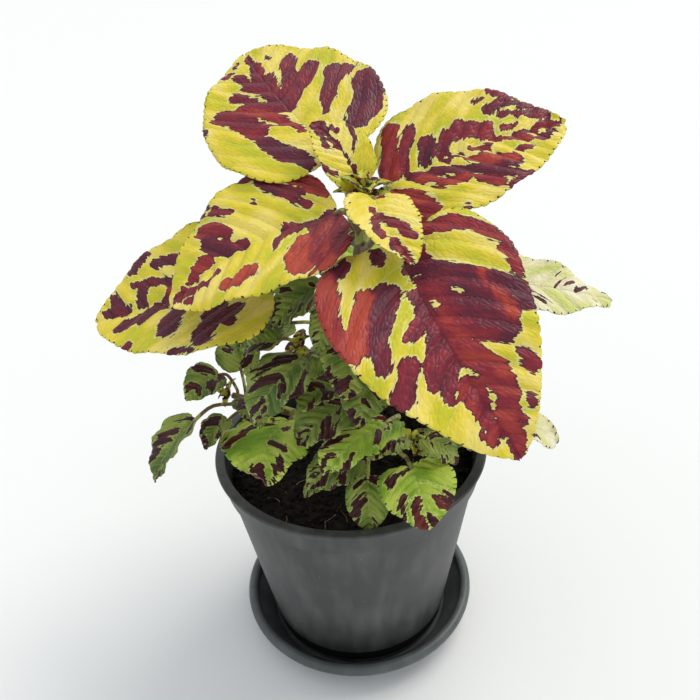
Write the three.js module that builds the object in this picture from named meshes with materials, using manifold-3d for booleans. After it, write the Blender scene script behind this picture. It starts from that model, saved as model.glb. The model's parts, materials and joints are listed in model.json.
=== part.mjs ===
// A young potted coleus: a round saucer, a nursery pot, potting mix, a branching stem and its leaves.
// Millimetres, +Z up. The origin is the middle of the saucer's underside.
import * as THREE from 'three';
import { mergeVertices } from 'three/addons/utils/BufferGeometryUtils.js';
import Module from 'manifold-3d';

// ---- Driving dimensions -------------------------------------------------------------------------

const CLEARANCE = 0.3; // gap between pieces that touch
const ROUND_STEPS = 44; // facets round the pot, the saucer and the soil

const BEVEL = 0.6; // on the corners of the moulded plastic

const SAUCER = {
  baseRadius: 51,
  rimRadius: 65,
  height: 18,
  floor: 2,
  wall: 2,
  lip: 5.6, // diameter of the rounded lip
  lipInset: 3.4, // from the rim in to the outside of the wall under the lip
};

const POT = {
  rimRadius: 70,
  lipWidth: 5,
  lipThickness: 2,
  collarHeight: 13.5,
  collarTopRadius: 68.6,
  collarFootRadius: 66.6,
  wallTopRadius: 64.6,
  wallFootRadius: 48.6,
  wall: 1.4,
  height: 114.2,
  footDepth: 1.6, // how far the floor stands above the foot ring
  footWidth: 5,
  floor: 1.6,
  drainHoles: 6,
  drainRadius: 4,
  drainCircle: 26,
};

const SOIL = { top: 103.5, unevenness: 1.6, skin: 3, rings: [52, 42, 31, 20, 10] };

// A stem's rounded corners, as a share of its half side, and the length of one facet along it.
const STEM = { corner: 0.5, cornerSteps: 2, step: 14 };

// A petiole's radius is a fixed part and a share of its blade's width. It ends the gap short of its
// stem's corner, which stands this share of the side from the stem's middle. It narrows where it meets
// the blade, and it bends towards the blade's direction over this share of its length.
const PETIOLE = { radius: 0.55, widthShare: 1 / 75, gap: 0.5, stemCorner: 0.66, neck: 0.8, bend: 0.45 };
const LEAF_THICKNESS = 0.7;
const MIDRIB_THICKNESS = 1.5;
const TAPER = 0.72; // how bluntly a blade's outline falls to its tip
const LOBE_POWER = 4; // how soon the base lobes die out along the blade

// Where the sections of a leaf lie: along its petiole, and along its blade from the petiole (0) to just
// before the tip (1).
const SMALL_LEAF = 40; // blades narrower than this take fewer sections
const SECTIONS_LARGE = {
  petiole: [0, 0.35, 0.7],
  blade: [0.035, 0.1, 0.2, 0.34, 0.5, 0.66, 0.8, 0.92],
};
const SECTIONS_SMALL = { petiole: [0, 0.5], blade: [0.05, 0.2, 0.4, 0.62, 0.84] };

// Stems: hand-set centre lines, with the side of the square section at the foot and at the top.
const STEMS = [
  { name: 'main_stem', foot: 7.4, top: 4.2,
    path: [[1, 6, 92], [2, 5, 130], [5, 2, 175], [9, -2, 215], [12, -4, 243]] },
  { name: 'side_shoot_left', foot: 4, top: 2.6,
    path: [[-3.6, 4, 122], [-20, 1, 132], [-40, -3, 143], [-56, -5, 152]] },
  { name: 'side_shoot_front_left', foot: 3.8, top: 2.4,
    path: [[0.6, -1.2, 150], [-5, -9, 162], [-12, -18, 175], [-18, -24, 187]] },
  { name: 'side_shoot_front_right', foot: 4, top: 2.6,
    path: [[3, -0.4, 114], [10, -14, 122], [20, -29, 132], [27, -40, 142]] },
  { name: 'side_shoot_right', foot: 4, top: 2.6,
    path: [[7.6, 5, 126], [20, 7, 134], [34, 9, 146], [42, 10, 158]] },
  { name: 'side_shoot_back', foot: 4, top: 2.6,
    path: [[3, 10.4, 118], [6, 24, 128], [10, 38, 144], [13, 45, 160]] },
];

// Leaves: the stem and the share of its length where the petiole leaves it, base and tip of the blade,
// and its width. A leaf may differ from the common shape in: the angles, in degrees, by which it rolls
// (right side down) and folds up from its midrib; how far the midrib bows up (arch) and to the right
// (sway); how much the sides curl down and the base lobes reach back, as shares of the half width; and
// how bluntly the outline rises from the base.
const COMMON_LEAF = { roll: 0, fold: 12, arch: 3, sway: 0, curl: 0.1, lobe: 0.3, rise: 0.4 };
const LEAVES = [
  // Top rosette, youngest pair first.
  { name: 'leaf_top_small_back', stem: 'main_stem', at: 0.985, base: [11, 3, 251], tip: [-8, 13, 275],
    width: 28, roll: -24, arch: 4 },
  { name: 'leaf_top_small_front', stem: 'main_stem', at: 0.985, base: [16, -17, 250], tip: [27, -56, 237],
    width: 30, roll: -8, fold: 20, arch: 2, sway: 4 },
  { name: 'leaf_upper_right', stem: 'main_stem', at: 0.95, base: [23, 3, 248], tip: [101, 14, 268],
    width: 67, roll: 30, arch: 5, sway: -1, lobe: 0.1, rise: 0.35 },
  { name: 'leaf_upper_left', stem: 'main_stem', at: 0.95, base: [1, -11, 243], tip: [-72, -26, 212],
    width: 69, roll: -22, fold: 16, arch: 6, sway: 2, lobe: 0.1, rise: 0.32 },
  { name: 'leaf_upper_back', stem: 'main_stem', at: 0.88, base: [0, 11, 262], tip: [-41, 90, 294],
    width: 82, roll: -21, fold: 9, arch: 1, sway: -2, rise: 0.42 },
  { name: 'leaf_upper_front', stem: 'main_stem', at: 0.88, base: [23, -32, 234], tip: [57, -108, 186],
    width: 76, roll: 18, fold: 15, arch: 10, sway: 4, rise: 0.3 },
  { name: 'leaf_middle_left', stem: 'main_stem', at: 0.77, base: [-30, -8, 208], tip: [-114, 0, 193],
    width: 74, roll: -26, fold: 20, arch: 3, sway: 2, lobe: 0.2 },
  { name: 'leaf_middle_right', stem: 'main_stem', at: 0.77, base: [40, 2, 201], tip: [122, -12, 194],
    width: 42, roll: 16, arch: 5 },
  { name: 'leaf_middle_back', stem: 'main_stem', at: 0.62, base: [8, 30, 196], tip: [14, 104, 198],
    width: 60, fold: 8, arch: 7 },
  { name: 'leaf_middle_front', stem: 'main_stem', at: 0.62, base: [6, -32, 196], tip: [0, -58, 180],
    width: 26, fold: 20 },
  { name: 'leaf_lower_right', stem: 'main_stem', at: 0.48, base: [38, -8, 152], tip: [98, -30, 129],
    width: 48, arch: 6 },
  { name: 'leaf_lower_left', stem: 'main_stem', at: 0.48, base: [-24, 2, 186], tip: [-50, -1, 176],
    width: 28, roll: -20, fold: 22 },
  { name: 'leaf_inner_left', stem: 'main_stem', at: 0.7, base: [-8, -13, 211], tip: [-31, -22, 196],
    width: 26, roll: -10, fold: 18 },
  { name: 'leaf_inner_front', stem: 'main_stem', at: 0.7, base: [1, -25, 208], tip: [-11, -42, 194],
    width: 18, fold: 20 },
  // Left side shoot.
  { name: 'left_shoot_leaf_outer', stem: 'side_shoot_left', at: 0.92, base: [-72, -21, 150],
    tip: [-91, -40, 130], width: 27, roll: 16, fold: 20 },
  { name: 'left_shoot_leaf_upper', stem: 'side_shoot_left', at: 0.97, base: [-62, 0, 161],
    tip: [-77, -12, 155], width: 20, roll: -20, fold: 22 },
  { name: 'left_shoot_leaf_under', stem: 'side_shoot_left', at: 0.8, base: [-58, -16, 145],
    tip: [-69, -26, 136], width: 17, fold: 18 },
  { name: 'left_shoot_leaf_back', stem: 'side_shoot_left', at: 0.9, base: [-52, 6, 160],
    tip: [-57, 22, 170], width: 22, fold: 14 },
  { name: 'left_shoot_leaf_inner', stem: 'side_shoot_left', at: 0.88, base: [-48, -12, 154],
    tip: [-40, -34, 152], width: 18, fold: 20 },
  { name: 'left_shoot_leaf_small', stem: 'side_shoot_left', at: 0.75, base: [-45, 6, 152],
    tip: [-36, 24, 152], width: 20, fold: 14 },
  { name: 'left_shoot_leaf_broad', stem: 'side_shoot_left', at: 0.45, base: [-29, -10, 138],
    tip: [-38, -54, 136], width: 48, roll: 8, fold: 12, arch: 4, sway: 5 },
  // Front left side shoot.
  { name: 'front_left_shoot_leaf_front', stem: 'side_shoot_front_left', at: 0.9, base: [-17, -32, 186],
    tip: [-39, -57, 172], width: 36, roll: 8, fold: 8, arch: 4 },
  { name: 'front_left_shoot_leaf_left', stem: 'side_shoot_front_left', at: 0.9, base: [-28, -24, 192],
    tip: [-45, -20, 183], width: 20, roll: -14, fold: 20 },
  { name: 'front_left_shoot_leaf_right', stem: 'side_shoot_front_left', at: 0.97, base: [-12, -30, 187],
    tip: [2, -44, 190], width: 16, fold: 22 },
  { name: 'front_left_shoot_leaf_low', stem: 'side_shoot_front_left', at: 0.5, base: [-3, -36, 174],
    tip: [-20, -54, 174], width: 24, fold: 20 },
  // Front right side shoot.
  { name: 'front_right_shoot_leaf_left', stem: 'side_shoot_front_right', at: 0.96, base: [22, -44, 150],
    tip: [3, -60, 152], width: 22, fold: 8, curl: 0.2 },
  { name: 'front_right_shoot_leaf_right', stem: 'side_shoot_front_right', at: 0.96, base: [33, -42, 147],
    tip: [47, -50, 138], width: 21, fold: 10, curl: 0.2 },
  { name: 'front_right_shoot_leaf_front', stem: 'side_shoot_front_right', at: 0.85, base: [26, -51, 138],
    tip: [31, -80, 129], width: 34, roll: 8, fold: 8 },
  { name: 'front_right_shoot_leaf_back', stem: 'side_shoot_front_right', at: 0.8, base: [36, -30, 142],
    tip: [60, -36, 134], width: 22, fold: 12 },
  { name: 'front_right_shoot_leaf_broad', stem: 'side_shoot_front_right', at: 0.55, base: [17, -46, 160],
    tip: [-12, -70, 153], width: 34, roll: 12, fold: 10 },
  { name: 'front_right_shoot_leaf_low', stem: 'side_shoot_front_right', at: 0.3, base: [2, -42, 138],
    tip: [-20, -56, 134], width: 26, fold: 8, curl: 0.2 },
  { name: 'front_right_shoot_leaf_drooping', stem: 'side_shoot_front_right', at: 0.45,
    base: [7, -48, 132], tip: [6, -61, 111], width: 20, fold: 26 },
  // Small leaves straight from the main stem, in front.
  { name: 'stem_leaf_front', stem: 'main_stem', at: 0.42, base: [2, -37, 167], tip: [-22, -54, 156],
    width: 34 },
  { name: 'stem_leaf_front_right', stem: 'main_stem', at: 0.48, base: [12, -40, 183], tip: [4, -64, 171],
    width: 24, fold: 16 },
  { name: 'stem_leaf_lowest', stem: 'main_stem', at: 0.14, base: [-12, -40, 124], tip: [-23, -46, 120],
    width: 11, curl: 0.2 },
  // Right side shoot.
  { name: 'right_shoot_leaf_outer', stem: 'side_shoot_right', at: 0.92, base: [56, 15, 160],
    tip: [90, 25, 152], width: 32, arch: 4 },
  { name: 'right_shoot_leaf_back', stem: 'side_shoot_right', at: 0.97, base: [42, 22, 166],
    tip: [50, 48, 166], width: 24 },
  { name: 'right_shoot_leaf_front', stem: 'side_shoot_right', at: 0.97, base: [46, 0, 166],
    tip: [58, -22, 168], width: 22 },
  { name: 'right_shoot_leaf_low', stem: 'side_shoot_right', at: 0.55, base: [38, 26, 140],
    tip: [62, 48, 124], width: 32, arch: 4 },
  // Back side shoot.
  { name: 'back_shoot_leaf_outer', stem: 'side_shoot_back', at: 0.92, base: [13, 60, 164],
    tip: [8, 94, 152], width: 34, arch: 4 },
  { name: 'back_shoot_leaf_right', stem: 'side_shoot_back', at: 0.97, base: [22, 50, 167],
    tip: [44, 66, 163], width: 24 },
  { name: 'back_shoot_leaf_left', stem: 'side_shoot_back', at: 0.97, base: [4, 48, 166],
    tip: [-20, 60, 163], width: 24 },
  { name: 'back_shoot_leaf_low_left', stem: 'side_shoot_back', at: 0.5, base: [-8, 42, 140],
    tip: [-36, 62, 124], width: 32, arch: 4 },
  { name: 'back_shoot_leaf_low_right', stem: 'side_shoot_back', at: 0.5, base: [20, 52, 138],
    tip: [30, 78, 120], width: 28, arch: 4 },
].map((leaf) => ({ ...COMMON_LEAF, ...leaf }));

// Growing tips: a bud of unopened leaves on the end of each stem.
const GROWING_TIPS = [
  { name: 'growing_tip_main', stem: 'main_stem', height: 9, radius: 4 },
  { name: 'growing_tip_left', stem: 'side_shoot_left', height: 7, radius: 2.8 },
  { name: 'growing_tip_front_left', stem: 'side_shoot_front_left', height: 7, radius: 2.8 },
  { name: 'growing_tip_front_right', stem: 'side_shoot_front_right', height: 8, radius: 3 },
  { name: 'growing_tip_right', stem: 'side_shoot_right', height: 7, radius: 2.8 },
  { name: 'growing_tip_back', stem: 'side_shoot_back', height: 7, radius: 2.8 },
];
const BUD_PROFILE = [[0, 0], [0.5, 0], [1, 0.35], [0.75, 0.7], [0, 1]]; // shares of radius and height
const BUD_STEPS = 8;

// ---- Materials ----------------------------------------------------------------------------------

const finish = (color, roughness) => new THREE.MeshStandardMaterial({ color, roughness, metalness: 0 });
const darkPlastic = () => finish(0x3b3f42, 0.6);
const pottingMix = () => finish(0x1b1815, 0.95);
const greenStem = () => finish(0x8a8f3c, 0.7);
const variegatedLeaf = () => finish(0xc9cf3a, 0.65);

// ---- Solids -------------------------------------------------------------------------------------

const wasm = await Module();
wasm.setup();

const vec = ([x, y, z]) => new THREE.Vector3(x, y, z);
const radians = THREE.MathUtils.degToRad;

// A geometry with only its corners, each held once, and no triangle without area.
function corners(geometry) {
  const bare = new THREE.BufferGeometry();
  bare.setAttribute('position', geometry.getAttribute('position').clone());
  if (geometry.index) bare.setIndex(geometry.index.clone());
  const merged = mergeVertices(bare, 1e-4);
  const index = merged.index.array;
  const kept = [];
  for (let i = 0; i < index.length; i += 3) {
    const [a, b, c] = [index[i], index[i + 1], index[i + 2]];
    if (a !== b && b !== c && c !== a) kept.push(a, b, c);
  }
  merged.setIndex(kept);
  return merged;
}

// The volume that a surface closes, below zero where its faces point in.
function volume(geometry) {
  const position = geometry.getAttribute('position');
  const index = geometry.index.array;
  const [a, b, c] = [new THREE.Vector3(), new THREE.Vector3(), new THREE.Vector3()];
  let sum = 0;
  for (let i = 0; i < index.length; i += 3) {
    a.fromBufferAttribute(position, index[i]);
    b.fromBufferAttribute(position, index[i + 1]);
    c.fromBufferAttribute(position, index[i + 2]);
    sum += a.dot(b.cross(c)) / 6;
  }
  return sum;
}

// The same closed surface with its faces pointing out.
function facingOut(geometry) {
  const solid = corners(geometry);
  if (volume(solid) < 0) {
    const index = solid.index.array;
    for (let i = 0; i < index.length; i += 3) [index[i], index[i + 1]] = [index[i + 1], index[i]];
  }
  return solid;
}

// A profile of [radius, height] points turned about the vertical axis.
function turned(profile, steps = ROUND_STEPS) {
  const points = profile.map(([radius, height]) => new THREE.Vector2(radius, height));
  return facingOut(new THREE.LatheGeometry(points, steps).rotateX(Math.PI / 2));
}

// The geometry as a solid that can be cut.
function toManifold(geometry) {
  return new wasm.Manifold(new wasm.Mesh({
    numProp: 3,
    vertProperties: new Float32Array(geometry.getAttribute('position').array),
    triVerts: new Uint32Array(geometry.index.array),
  }));
}

// The body with each tool's space taken out of it.
function cut(body, tools) {
  const result = tools.reduce((left, tool) => left.subtract(toManifold(tool)), toManifold(body));
  const mesh = result.getMesh();
  const geometry = new THREE.BufferGeometry();
  geometry.setAttribute('position', new THREE.BufferAttribute(new Float32Array(mesh.vertProperties), 3));
  geometry.setIndex(Array.from(mesh.triVerts));
  return geometry;
}

// ---- Saucer, pot and soil -----------------------------------------------------------------------

// Points of an arc about [radius, height], from one angle to another in degrees.
function arc([r, z], size, from, to, steps) {
  return Array.from({ length: steps + 1 }, (_, i) => {
    const angle = radians(from + ((to - from) * i) / steps);
    return [r + size * Math.cos(angle), z + size * Math.sin(angle)];
  });
}

function saucerSolid() {
  const { baseRadius, rimRadius, height, floor, wall, lip, lipInset } = SAUCER;
  const lipRadius = lip / 2;
  return turned([
    [0, 0],
    [baseRadius - 1, 0],
    [baseRadius, BEVEL],
    [rimRadius - lipInset, height - lip],
    ...arc([rimRadius - lipRadius, height - lipRadius], lipRadius, -20, 200, 7),
    [rimRadius - lipInset - wall, height - lip],
    [baseRadius - BEVEL, floor + BEVEL],
    [baseRadius - wall, floor],
    [0, floor],
  ]);
}

const potFoot = SAUCER.floor + CLEARANCE;
const potTop = potFoot + POT.height;
const collarFoot = potTop - POT.collarHeight;
const potFloor = potFoot + POT.footDepth + POT.floor;

// The inside radius of the pot's tapering wall at a height.
function wallInside(z) {
  const share = (z - potFoot) / (collarFoot - potFoot);
  return THREE.MathUtils.lerp(POT.wallFootRadius, POT.wallTopRadius, share) - POT.wall;
}

function potSolid() {
  const p = POT;
  const shell = turned([
    [0, potFoot + p.footDepth],
    [p.wallFootRadius - p.footWidth - 1, potFoot + p.footDepth],
    [p.wallFootRadius - p.footWidth, potFoot],
    [p.wallFootRadius - 2 * BEVEL, potFoot],
    [p.wallFootRadius, potFoot + 2 * BEVEL],
    [p.wallTopRadius, collarFoot],
    [p.collarFootRadius - BEVEL, collarFoot],
    [p.collarFootRadius, collarFoot + BEVEL],
    [p.collarTopRadius, potTop - p.lipThickness - BEVEL],
    [p.rimRadius - BEVEL, potTop - p.lipThickness],
    [p.rimRadius, potTop - p.lipThickness + BEVEL],
    [p.rimRadius, potTop - BEVEL],
    [p.rimRadius - BEVEL, potTop],
    [p.rimRadius - p.lipWidth + BEVEL, potTop],
    [p.rimRadius - p.lipWidth, potTop - BEVEL],
    [p.rimRadius - p.lipWidth - BEVEL, collarFoot - BEVEL],
    [wallInside(collarFoot - 2 * p.wall), collarFoot - 2 * p.wall],
    [wallInside(potFloor + 2 * p.wall), potFloor + 2 * p.wall],
    [wallInside(potFloor) - 2 * p.wall, potFloor],
    [0, potFloor],
  ]);
  const holes = Array.from({ length: p.drainHoles }, (_, i) => {
    const angle = (2 * Math.PI * i) / p.drainHoles;
    const hole = new THREE.CylinderGeometry(p.drainRadius, p.drainRadius, 4 * p.floor, 12);
    hole.rotateX(Math.PI / 2);
    hole.translate(p.drainCircle * Math.cos(angle), p.drainCircle * Math.sin(angle), potFloor);
    return corners(hole);
  });
  return cut(shell, holes);
}

// How far the soil stands above or below its mean level at a place: low crossed swells, with one more
// that runs aslant. They are 55 to 70 mm from crest to crest, and together at most one unevenness high.
function unevenness(x, y) {
  const crossed = Math.sin(x / 9 + 0.7) * Math.cos(y / 11);
  const slanting = Math.sin((x + 2 * y) / 14 + 2);
  return SOIL.unevenness * THREE.MathUtils.lerp(crossed, slanting, 0.375);
}

function soilSolid(stemGeometry) {
  const low = potFloor + CLEARANCE;
  const edge = (z) => wallInside(z) - CLEARANCE;
  const { top, skin, rings } = SOIL;
  const soil = turned([
    [0, low],
    [edge(low) - skin, low],
    [edge(low + skin), low + skin],
    [edge(top - skin), top - skin],
    ...rings.map((radius) => [radius, top]),
    [0, top],
  ]);
  const position = soil.getAttribute('position');
  for (let i = 0; i < position.count; i += 1) {
    if (position.getZ(i) > SOIL.top - CLEARANCE) {
      position.setZ(i, SOIL.top + unevenness(position.getX(i), position.getY(i)));
    }
  }
  return cut(soil, [stemGeometry]);
}

// ---- Stems --------------------------------------------------------------------------------------

// A square with rounded corners, as a young coleus stem has.
function squareSection(side) {
  const half = side / 2;
  const round = half * STEM.corner;
  const flat = half - round;
  const rounded = [[1, 1, 0], [-1, 1, 90], [-1, -1, 180], [1, -1, 270]].flatMap(([x, y, start]) => (
    arc([x * flat, y * flat], round, start, start + 90, STEM.cornerSteps)
  ));
  return new THREE.Shape(rounded.map(([x, y]) => new THREE.Vector2(x, y)));
}

const stemCurve = (stem) => new THREE.CatmullRomCurve3(stem.path.map(vec));
const stemSide = (stem, share) => THREE.MathUtils.lerp(stem.foot, stem.top, share);

// A square tube along the stem's curve that grows thinner towards its top.
function stemSolid(stem, extra = 0) {
  const curve = stemCurve(stem);
  const steps = Math.ceil(curve.getLength() / STEM.step);
  const tube = new THREE.ExtrudeGeometry(squareSection(stem.foot + 2 * extra), {
    steps,
    extrudePath: curve,
  });
  const rings = curve.getSpacedPoints(steps);
  const position = tube.getAttribute('position');
  const point = new THREE.Vector3();
  for (let i = 0; i < position.count; i += 1) {
    point.fromBufferAttribute(position, i);
    const nearest = rings.reduce((best, ring, k) => (
      ring.distanceToSquared(point) < rings[best].distanceToSquared(point) ? k : best
    ), 0);
    const size = (stemSide(stem, nearest / steps) + 2 * extra) / (stem.foot + 2 * extra);
    point.sub(rings[nearest]).multiplyScalar(size).add(rings[nearest]);
    position.setXYZ(i, point.x, point.y, point.z);
  }
  return facingOut(tube);
}

// ---- Leaves -------------------------------------------------------------------------------------

// A closed skin over sections of eight points each, drawn to a point at the tip. The first section
// is closed by a fan from its third point, the middle of the upper side.
function loft(sections, tip) {
  const count = sections[0].length;
  const points = [...sections.flat(), tip];
  const index = [];
  for (let i = 0; i + 1 < sections.length; i += 1) {
    for (let j = 0; j < count; j += 1) {
      const [a, b] = [i * count + j, i * count + ((j + 1) % count)];
      index.push(a, b, b + count, a, b + count, a + count);
    }
  }
  const last = (sections.length - 1) * count;
  for (let j = 0; j < count; j += 1) index.push(last + j, last + ((j + 1) % count), points.length - 1);
  for (let j = 3; j < count + 1; j += 1) index.push(2, (j + 1) % count, j % count);
  const geometry = new THREE.BufferGeometry();
  geometry.setAttribute('position', new THREE.Float32BufferAttribute(points.flatMap((p) => p.toArray()), 3));
  geometry.setIndex(index);
  return facingOut(geometry);
}

// The blade's own directions: along it, to its right and out of its upper side.
function bladeAxes({ base, tip, roll }) {
  const along = vec(tip).sub(vec(base)).normalize();
  const right = along.clone().cross(new THREE.Vector3(0, 0, 1)).normalize();
  right.applyAxisAngle(along, radians(roll));
  return { along, right, up: right.clone().cross(along) };
}

// Half the width of a blade along its length, as a share of its greatest half width.
function outline(u, rise) {
  const widest = rise / (rise + TAPER);
  return (u ** rise * (1 - u) ** TAPER) / (widest ** rise * (1 - widest) ** TAPER);
}

// Offsets of a section's eight points: across it, and on which side of the blade each lies.
const SECTION = [[-1, 0], [-0.5, 1], [0, 1], [0.5, 1], [1, 0], [0.5, -1], [0, -1], [-0.5, -1]];

function bladeSection(leaf, axes, u) {
  const { along, right, up } = axes;
  const half = (leaf.width / 2) * outline(u, leaf.rise);
  const bow = Math.sin(Math.PI * u);
  const centre = vec(leaf.base).lerp(vec(leaf.tip), u)
    .addScaledVector(up, leaf.arch * bow)
    .addScaledVector(right, leaf.sway * bow);
  const lobe = leaf.lobe * half * (1 - u) ** LOBE_POWER; // the base lobes reach back past the petiole
  return SECTION.map(([side, face]) => {
    const across = Math.abs(side);
    const lift = half * (Math.tan(radians(leaf.fold)) * across - leaf.curl * across * across);
    const thick = side === 0 ? MIDRIB_THICKNESS : LEAF_THICKNESS;
    return centre.clone()
      .addScaledVector(right, half * side)
      .addScaledVector(up, lift + (face * thick) / 2)
      .addScaledVector(along, -lobe * across);
  });
}

function petioleSection(centre, tangent, axes, radius) {
  const sideways = axes.right.clone().addScaledVector(tangent, -axes.right.dot(tangent)).normalize();
  const outward = sideways.clone().cross(tangent);
  return SECTION.map((_, j) => {
    const angle = Math.PI - (j * Math.PI) / 4;
    return centre.clone()
      .addScaledVector(sideways, radius * Math.cos(angle))
      .addScaledVector(outward, radius * Math.sin(angle));
  });
}

// Where a petiole starts: beside its stem, on the side that faces the blade, clear of the stem's corner.
function petioleStart(leaf, radius) {
  const stem = STEMS.find(({ name }) => name === leaf.stem);
  const curve = stemCurve(stem);
  const joint = curve.getPointAt(leaf.at);
  const tangent = curve.getTangentAt(leaf.at);
  const away = vec(leaf.base).sub(joint).normalize();
  const rise = away.dot(tangent);
  const outward = away.clone().addScaledVector(tangent, -rise).normalize();
  const reach = stemSide(stem, leaf.at) * PETIOLE.stemCorner + PETIOLE.gap + radius * Math.abs(rise);
  return joint.addScaledVector(outward, reach);
}

function leafSolid(leaf) {
  const axes = bladeAxes(leaf);
  const base = vec(leaf.base);
  const radius = PETIOLE.radius + PETIOLE.widthShare * leaf.width;
  const start = petioleStart(leaf, radius);
  const bend = base.clone().addScaledVector(axes.along, -PETIOLE.bend * base.distanceTo(start));
  const petiole = new THREE.QuadraticBezierCurve3(start, bend, base);
  const stations = leaf.width < SMALL_LEAF ? SECTIONS_SMALL : SECTIONS_LARGE;
  return loft([
    ...stations.petiole.map((t) => (
      petioleSection(petiole.getPoint(t), petiole.getTangent(t), axes, radius)
    )),
    petioleSection(base, axes.along, axes, radius * PETIOLE.neck),
    ...stations.blade.map((u) => bladeSection(leaf, axes, u)),
  ], vec(leaf.tip));
}

// ---- Growing tips -------------------------------------------------------------------------------

function growingTipSolid({ stem: stemName, height, radius }) {
  const stem = STEMS.find(({ name }) => name === stemName);
  const curve = stemCurve(stem);
  const bud = turned(BUD_PROFILE.map(([r, z]) => [radius * r, height * z]), BUD_STEPS);
  const direction = curve.getTangentAt(1);
  bud.applyQuaternion(new THREE.Quaternion().setFromUnitVectors(new THREE.Vector3(0, 0, 1), direction));
  const foot = curve.getPointAt(1).addScaledVector(direction, CLEARANCE);
  return bud.translate(foot.x, foot.y, foot.z);
}

// ---- Assembly -----------------------------------------------------------------------------------

const plant = new THREE.Group();
const holder = new THREE.Group();
const potted = new THREE.Group();
potted.add(holder, plant);

function piece(group, name, geometry, material) {
  const mesh = new THREE.Mesh(geometry, material);
  mesh.name = name;
  group.add(mesh);
}

piece(holder, 'saucer', saucerSolid(), darkPlastic());
piece(holder, 'pot', potSolid(), darkPlastic());
piece(holder, 'soil', soilSolid(stemSolid(STEMS[0], CLEARANCE)), pottingMix());
for (const stem of STEMS) piece(plant, stem.name, stemSolid(stem), greenStem());
for (const tip of GROWING_TIPS) piece(plant, tip.name, growingTipSolid(tip), variegatedLeaf());
for (const leaf of LEAVES) piece(plant, leaf.name, leafSolid(leaf), variegatedLeaf());

export default potted;
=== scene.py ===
import json
import logging
import math
from dataclasses import dataclass, field
from enum import Enum

import bpy
import numpy as np
from mathutils import Matrix, Vector


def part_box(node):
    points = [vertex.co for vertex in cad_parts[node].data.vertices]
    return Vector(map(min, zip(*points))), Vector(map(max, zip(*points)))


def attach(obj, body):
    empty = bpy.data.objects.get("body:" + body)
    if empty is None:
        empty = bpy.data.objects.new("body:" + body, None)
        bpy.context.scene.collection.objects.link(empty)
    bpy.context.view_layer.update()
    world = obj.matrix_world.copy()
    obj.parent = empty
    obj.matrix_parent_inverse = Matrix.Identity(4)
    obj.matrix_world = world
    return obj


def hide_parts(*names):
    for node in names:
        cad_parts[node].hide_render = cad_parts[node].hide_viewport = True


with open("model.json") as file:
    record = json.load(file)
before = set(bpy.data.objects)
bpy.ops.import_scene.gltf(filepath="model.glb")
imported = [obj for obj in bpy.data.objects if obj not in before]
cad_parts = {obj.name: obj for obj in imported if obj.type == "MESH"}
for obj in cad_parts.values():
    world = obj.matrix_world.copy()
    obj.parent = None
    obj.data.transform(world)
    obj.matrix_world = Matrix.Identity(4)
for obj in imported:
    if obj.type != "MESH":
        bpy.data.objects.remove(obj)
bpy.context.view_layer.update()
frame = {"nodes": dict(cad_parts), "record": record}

# A young coleus in a nursery pot. Sizes are in millimetres unless a name says otherwise; every mesh is
# written in metres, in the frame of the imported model.
MM = 0.001
BODY = "root"
LOG = logging.getLogger("potted_coleus")


# ---- Small tools ---------------------------------------------------------------------------------


def linear(hex_colour: str) -> tuple[float, float, float, float]:
    """Turn an sRGB hex colour such as "#d9d92c" into the linear colour that a shader takes."""
    shares = [int(hex_colour[i:i + 2], 16) / 255 for i in (1, 3, 5)]
    red, green, blue = (c / 12.92 if c <= 0.04045 else ((c + 0.055) / 1.055) ** 2.4 for c in shares)
    return (red, green, blue, 1.0)


def add(tree: bpy.types.NodeTree, kind: str, inputs: dict | None = None,
        stops: dict[float, str] | None = None, **settings: object) -> bpy.types.Node:
    """Add a node to a tree, with its settings, values and links.

    Args:
        tree: The shader or geometry tree.
        kind: The node's type name.
        inputs: For each input, by name or number: a node (its first output), an output socket or a value.
        stops: For a colour ramp, hex colours by their place on it.
        settings: Properties of the node itself.

    Returns:
        The new node.
    """
    node = tree.nodes.new(kind)
    for name, value in settings.items():
        setattr(node, name, value)
    for key, source in (inputs or {}).items():
        if isinstance(source, bpy.types.Node):
            tree.links.new(source.outputs[0], node.inputs[key])
        elif isinstance(source, bpy.types.NodeSocket):
            tree.links.new(source, node.inputs[key])
        else:
            node.inputs[key].default_value = source
    for number, (place, colour) in enumerate(sorted((stops or {}).items())):
        ramp = node.color_ramp.elements
        element = ramp[number] if number < 2 else ramp.new(place)
        element.position = place
        element.color = linear(colour)
    return node


def new_material(name: str) -> tuple[bpy.types.Material, bpy.types.NodeTree]:
    """Make a material with an empty node tree.

    Args:
        name: The material's name, a plain word for the real finish.

    Returns:
        The material and its tree.
    """
    material = bpy.data.materials.new(name)
    material.use_nodes = True
    material.node_tree.nodes.clear()
    return material, material.node_tree


def make_piece(name: str, points: np.ndarray, faces: list, materials: list[bpy.types.Material],
               smooth: bool = True) -> bpy.types.Object:
    """Make an object at the origin whose place is in its mesh.

    Args:
        name: The piece's name.
        points: Corners in millimetres, one row each.
        faces: Corner numbers of each face.
        materials: The materials in slot order.
        smooth: Whether the faces are shaded smooth.

    Returns:
        The new object, linked to the scene.
    """
    mesh = bpy.data.meshes.new(name)
    mesh.from_pydata((np.asarray(points) * MM).tolist(), [], faces)
    for material in materials:
        mesh.materials.append(material)
    mesh.polygons.foreach_set("use_smooth", [smooth] * len(mesh.polygons))
    mesh.update()
    piece = bpy.data.objects.new(name, mesh)
    bpy.context.scene.collection.objects.link(piece)
    return piece


def declare(piece: bpy.types.Object, slot: str, *nodes: str) -> None:
    """Let a piece ride on the plant's one body, in place of its CAD nodes."""
    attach(piece, BODY)
    if nodes:
        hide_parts(*nodes)
    LOG.info("%s: %d faces", piece.name, len(piece.data.polygons))


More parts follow.
